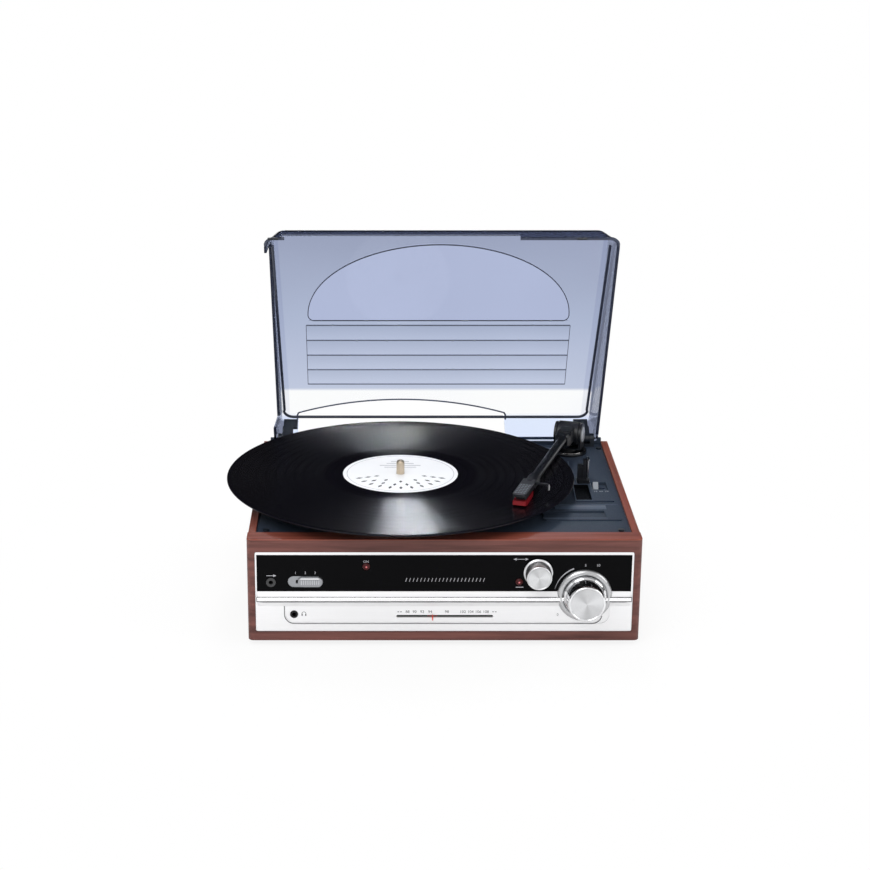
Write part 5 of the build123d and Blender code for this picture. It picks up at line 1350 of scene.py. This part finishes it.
    def marks(self, values):
        """Generic marks on the black panel: numbers, arrows, a swelling arc and a row of strokes."""
        face = span("fascia_panel")[0][1]
        depth = 0.06 * MM
        meshes = []
        for text, x in (("1", -121.4), ("2", -113.4), ("3", -105.4)):
            meshes.append(lettering(text, 3.0 * MM, self.at(x, 59.6, face), RIGHT, UP, 0.08 * MM))
        meshes.append(lettering("ON", 3.0 * MM, self.at(-63.8, 69.4, face), RIGHT, UP, 0.08 * MM))
        for x in np.linspace(-31, 32.5, 22):
            ends = [self.at(x - 0.5, 52.0, face), self.at(x + 0.5, 55.2, face)]
            meshes.append(ribbon("stroke", ends, 0.45 * MM, depth, FRONT))
        aux = [self.at(-145.2, 57.2, face), self.at(-139.6, 57.2, face)]
        meshes.append(ribbon("stem", aux, 0.5 * MM, depth, FRONT))
        meshes.append(self.arrow(-138.4, 57.2, 1, face, depth))
        for x, turn in ((57.6, -1), (67.2, 1)):
            meshes.append(self.arrow(x, 71.6, turn, face, depth))
        meshes.append(ribbon("stem", [self.at(59.2, 71.6, face), self.at(65.6, 71.6, face)], 0.45 * MM, depth, FRONT))
        meshes.append(ribbon("pilot", [self.at(58.6, 47.1, face), self.at(64.8, 47.1, face)], 0.7 * MM, depth, FRONT))
        centre = middle("volume_collar")
        swell = arc((centre[0], face, centre[2]), 25.0 * MM, 168, 112, RIGHT, UP, 24)
        outline = [(-0.5 * MM, 0), (0.5 * MM, 0), (0.5 * MM, depth), (-0.5 * MM, depth)]
        scale = np.linspace(0.2, 1.1, len(swell))
        meshes.append(swept_mesh("swell", swell, outline, up=FRONT, scale=scale))
        for text, x in (("10", 125.5), ("5", 115.1)):
            meshes.append(lettering(text, 3.2 * MM, self.at(x, 66.2, face), RIGHT, UP, 0.08 * MM))
        ink = moulded("light print", values.print_light, 0.5, 2000.0, 0.000005)
        place("panel_marks", joined("panel_marks", meshes), "cabinet", ink, "panel_black")

    def arrow(self, x, z, turn, face, depth):
        """A small arrowhead that points right or left."""
        path = [self.at(x - turn * 1.2, z, face), self.at(x + turn * 1.2, z, face)]
        outline = [(-1.1 * MM, 0), (1.1 * MM, 0), (1.1 * MM, depth), (-1.1 * MM, depth)]
        return swept_mesh("arrow", path, outline, up=FRONT, scale=[1.0, 0.08])

    def slider_ribs(self, values):
        """Upright ribs on the function switch's slider, and a bright strip along its top edge as painted highlight."""
        low, high = span("function_slider")
        front = low[1]
        meshes = []
        for x in np.linspace(low[0] + 3.0 * MM, high[0] - 3.0 * MM, 9):
            ends = [(x, front, low[2] + 2.4 * MM), (x, front, high[2] - 2.4 * MM)]
            meshes.append(ribbon("rib", np.array(ends), 0.9 * MM, 0.5 * MM, FRONT))
        metal = brushed("rib metal", (0.55, 0.56, 0.58), 2, 0.3)
        place("slider_ribs", joined("slider_ribs", meshes), "function_slider", metal, "silver_plastic")
        # Painted highlight: a bright strip where light catches the slider's top edge.
        edge = [(low[0] + 2.0 * MM, front, high[2] - 1.2 * MM), (high[0] - 2.5 * MM, front, high[2] - 1.2 * MM)]
        line = ribbon("slider_edge_highlight", np.array(edge), 0.9 * MM, 0.3 * MM, FRONT)
        bright = brushed("edge highlight metal", (0.95, 0.95, 0.96), 2, 0.2)
        place("slider_edge_highlight", line, "function_slider", bright, "silver_plastic")


class BuildKnobs(BuildOperator):
    """Turn the volume knob, its collar and the tuning knob"""

    bl_idname = "music_centre.build_knobs"
    bl_label = "Knobs"
    group = "fascia"

    def build(self, values):
        chrome = spun("knob side", values.knob, 0.09, 0.3)
        soft = spun("collar metal", shaded(values.knob, 0.62), 0.26, 0.3)
        # The face's wedges are painted sheen in its colour.
        face = spun("knob face", shaded(values.knob, 0.86), 0.3, 0.8, wedges=0.3)
        volume = [
            (0.0, -14.0),
            (3.0, -14.0),
            (3.0, 0.0),
            (16.9, 0.0),
            (17.5, 0.5),
            (17.5, 3.4),
            (17.1, 4.2),
            (16.1, 4.8),
            (15.7, 5.6),
            (15.35, 17.4),
            (15.2, 18.3),
            (14.7, 19.1),
            (14.2, 19.45),
            (13.7, 19.5),
            (13.4, 19.3),
            (13.2, 19.1),
            (0.0, 19.0),
        ]
        tuning = [
            (0.0, -12.0),
            (3.0, -12.0),
            (3.0, 0.0),
            (11.5, 0.0),
            (11.9, 0.3),
            (11.9, 1.5),
            (11.3, 2.1),
            (10.7, 2.4),
            (10.4, 12.6),
            (10.2, 13.3),
            (9.7, 13.85),
            (9.2, 14.0),
            (9.0, 13.8),
            (8.8, 13.65),
            (0.0, 13.6),
        ]
        satin = spun("tuning side", shaded(values.knob, 0.85), 0.34, 0.0)
        knobs = (("volume_knob", volume, 13.1, chrome), ("tuning_knob", tuning, 8.7, satin))
        for node, profile, face_radius, side in knobs:
            low, high = span(node)
            length = profile[-2][1]
            front = low[1] + profile[-4][1] * MM
            base = (middle(node)[0], low[1] + 19.5 * MM if node == "volume_knob" else low[1] + 14.0 * MM, middle(node)[2])
            back = -(high[1] - base[1]) / MM
            whole = [(r * MM, (back if h < -1 else h) * MM) for r, h in profile]
            mesh = turned_mesh(node, whole, base, axis="F", steps=120)
            place(f"{node}_body", mesh, node, side, "knob_silver", [node])
            top = profile[-1][1]
            disc = [(0.0, top + 0.02), (face_radius, length + 0.06), (face_radius, top + 0.25), (0.0, top + 0.1)]
            cover = turned_mesh(f"{node} face", [(r * MM, h * MM) for r, h in disc], base, axis="F", steps=120)
            place(f"{node}_face", cover, node, face, "knob_silver")
        low, high = span("volume_collar")
        base = (middle("volume_collar")[0], high[1], middle("volume_collar")[2])
        dome = [
            (4.0, 0.0),
            (4.0, 0.8),
            (17.9, 0.8),
            (18.0, 2.2),
            (18.5, 3.0),
            (19.3, 3.4),
            (20.2, 3.3),
            (21.2, 2.75),
            (22.0, 1.9),
            (22.6, 0.9),
            (22.7, 0.0),
        ]
        mesh = turned_mesh("collar", [(r * MM, h * MM) for r, h in dome], base, axis="F", steps=120, closed=True)
        place("volume_collar_ring", mesh, "cabinet", soft, "silver_plastic", ["volume_collar"])


class BuildWorkings(BuildOperator):
    """Finish the boards, switches, controls, transformer and loudspeakers inside"""

    bl_idname = "music_centre.build_workings"
    bl_label = "Workings"
    group = "cabinet"

    def build(self, values):
        dress(moulded("circuit board", (0.03, 0.14, 0.06), 0.4, 700.0), "control_board", "main_board")
        dress(
            moulded("workings plastic", (0.05, 0.05, 0.055), 0.5),
            "function_switch",
            "volume_pot",
            "tuning_capacitor",
            "speed_switch",
        )
        dress(brushed("core steel", (0.5, 0.5, 0.52), 2, 0.4), "transformer", "pointer_rail")
        dress(moulded("speaker black", (0.015, 0.015, 0.016), 0.7), "speaker_left", "speaker_right")


class MusicCentrePanel(bpy.types.Panel):
    """Lists the operators of the music centre and their settings"""

    bl_idname = "MUSIC_CENTRE_PT_panel"
    bl_label = "Music centre"
    bl_space_type = "VIEW_3D"
    bl_region_type = "UI"
    bl_category = "Music centre"

    def draw(self, context):
        settings = context.scene.music_centre
        for operator in OPERATORS:
            box = self.layout.box()
            box.operator(operator.bl_idname)
            group = getattr(settings, operator.group)
            for key in type(group).__annotations__:
                box.prop(group, key)


OPERATORS = (
    BuildStage,
    BuildCabinet,
    BuildDeck,
    BuildPlatter,
    BuildRecord,
    BuildTonearm,
    BuildLid,
    BuildFascia,
    BuildKnobs,
    BuildWorkings,
)
CLASSES = (*SETTINGS.values(), MusicCentreSettings, *OPERATORS, MusicCentrePanel)


def register():
    """Add the classes and the settings."""
    for item in CLASSES:
        bpy.utils.register_class(item)
    bpy.types.Scene.music_centre = PointerProperty(type=MusicCentreSettings)


def unregister():
    """Remove the settings and the classes."""
    del bpy.types.Scene.music_centre
    for item in reversed(CLASSES):
        bpy.utils.unregister_class(item)


def main():
    """Build the stage and every piece."""
    register()
    for operator in OPERATORS:
        group, name = operator.bl_idname.split(".")
        getattr(getattr(bpy.ops, group), name)()


if __name__ == "__main__":
    main()
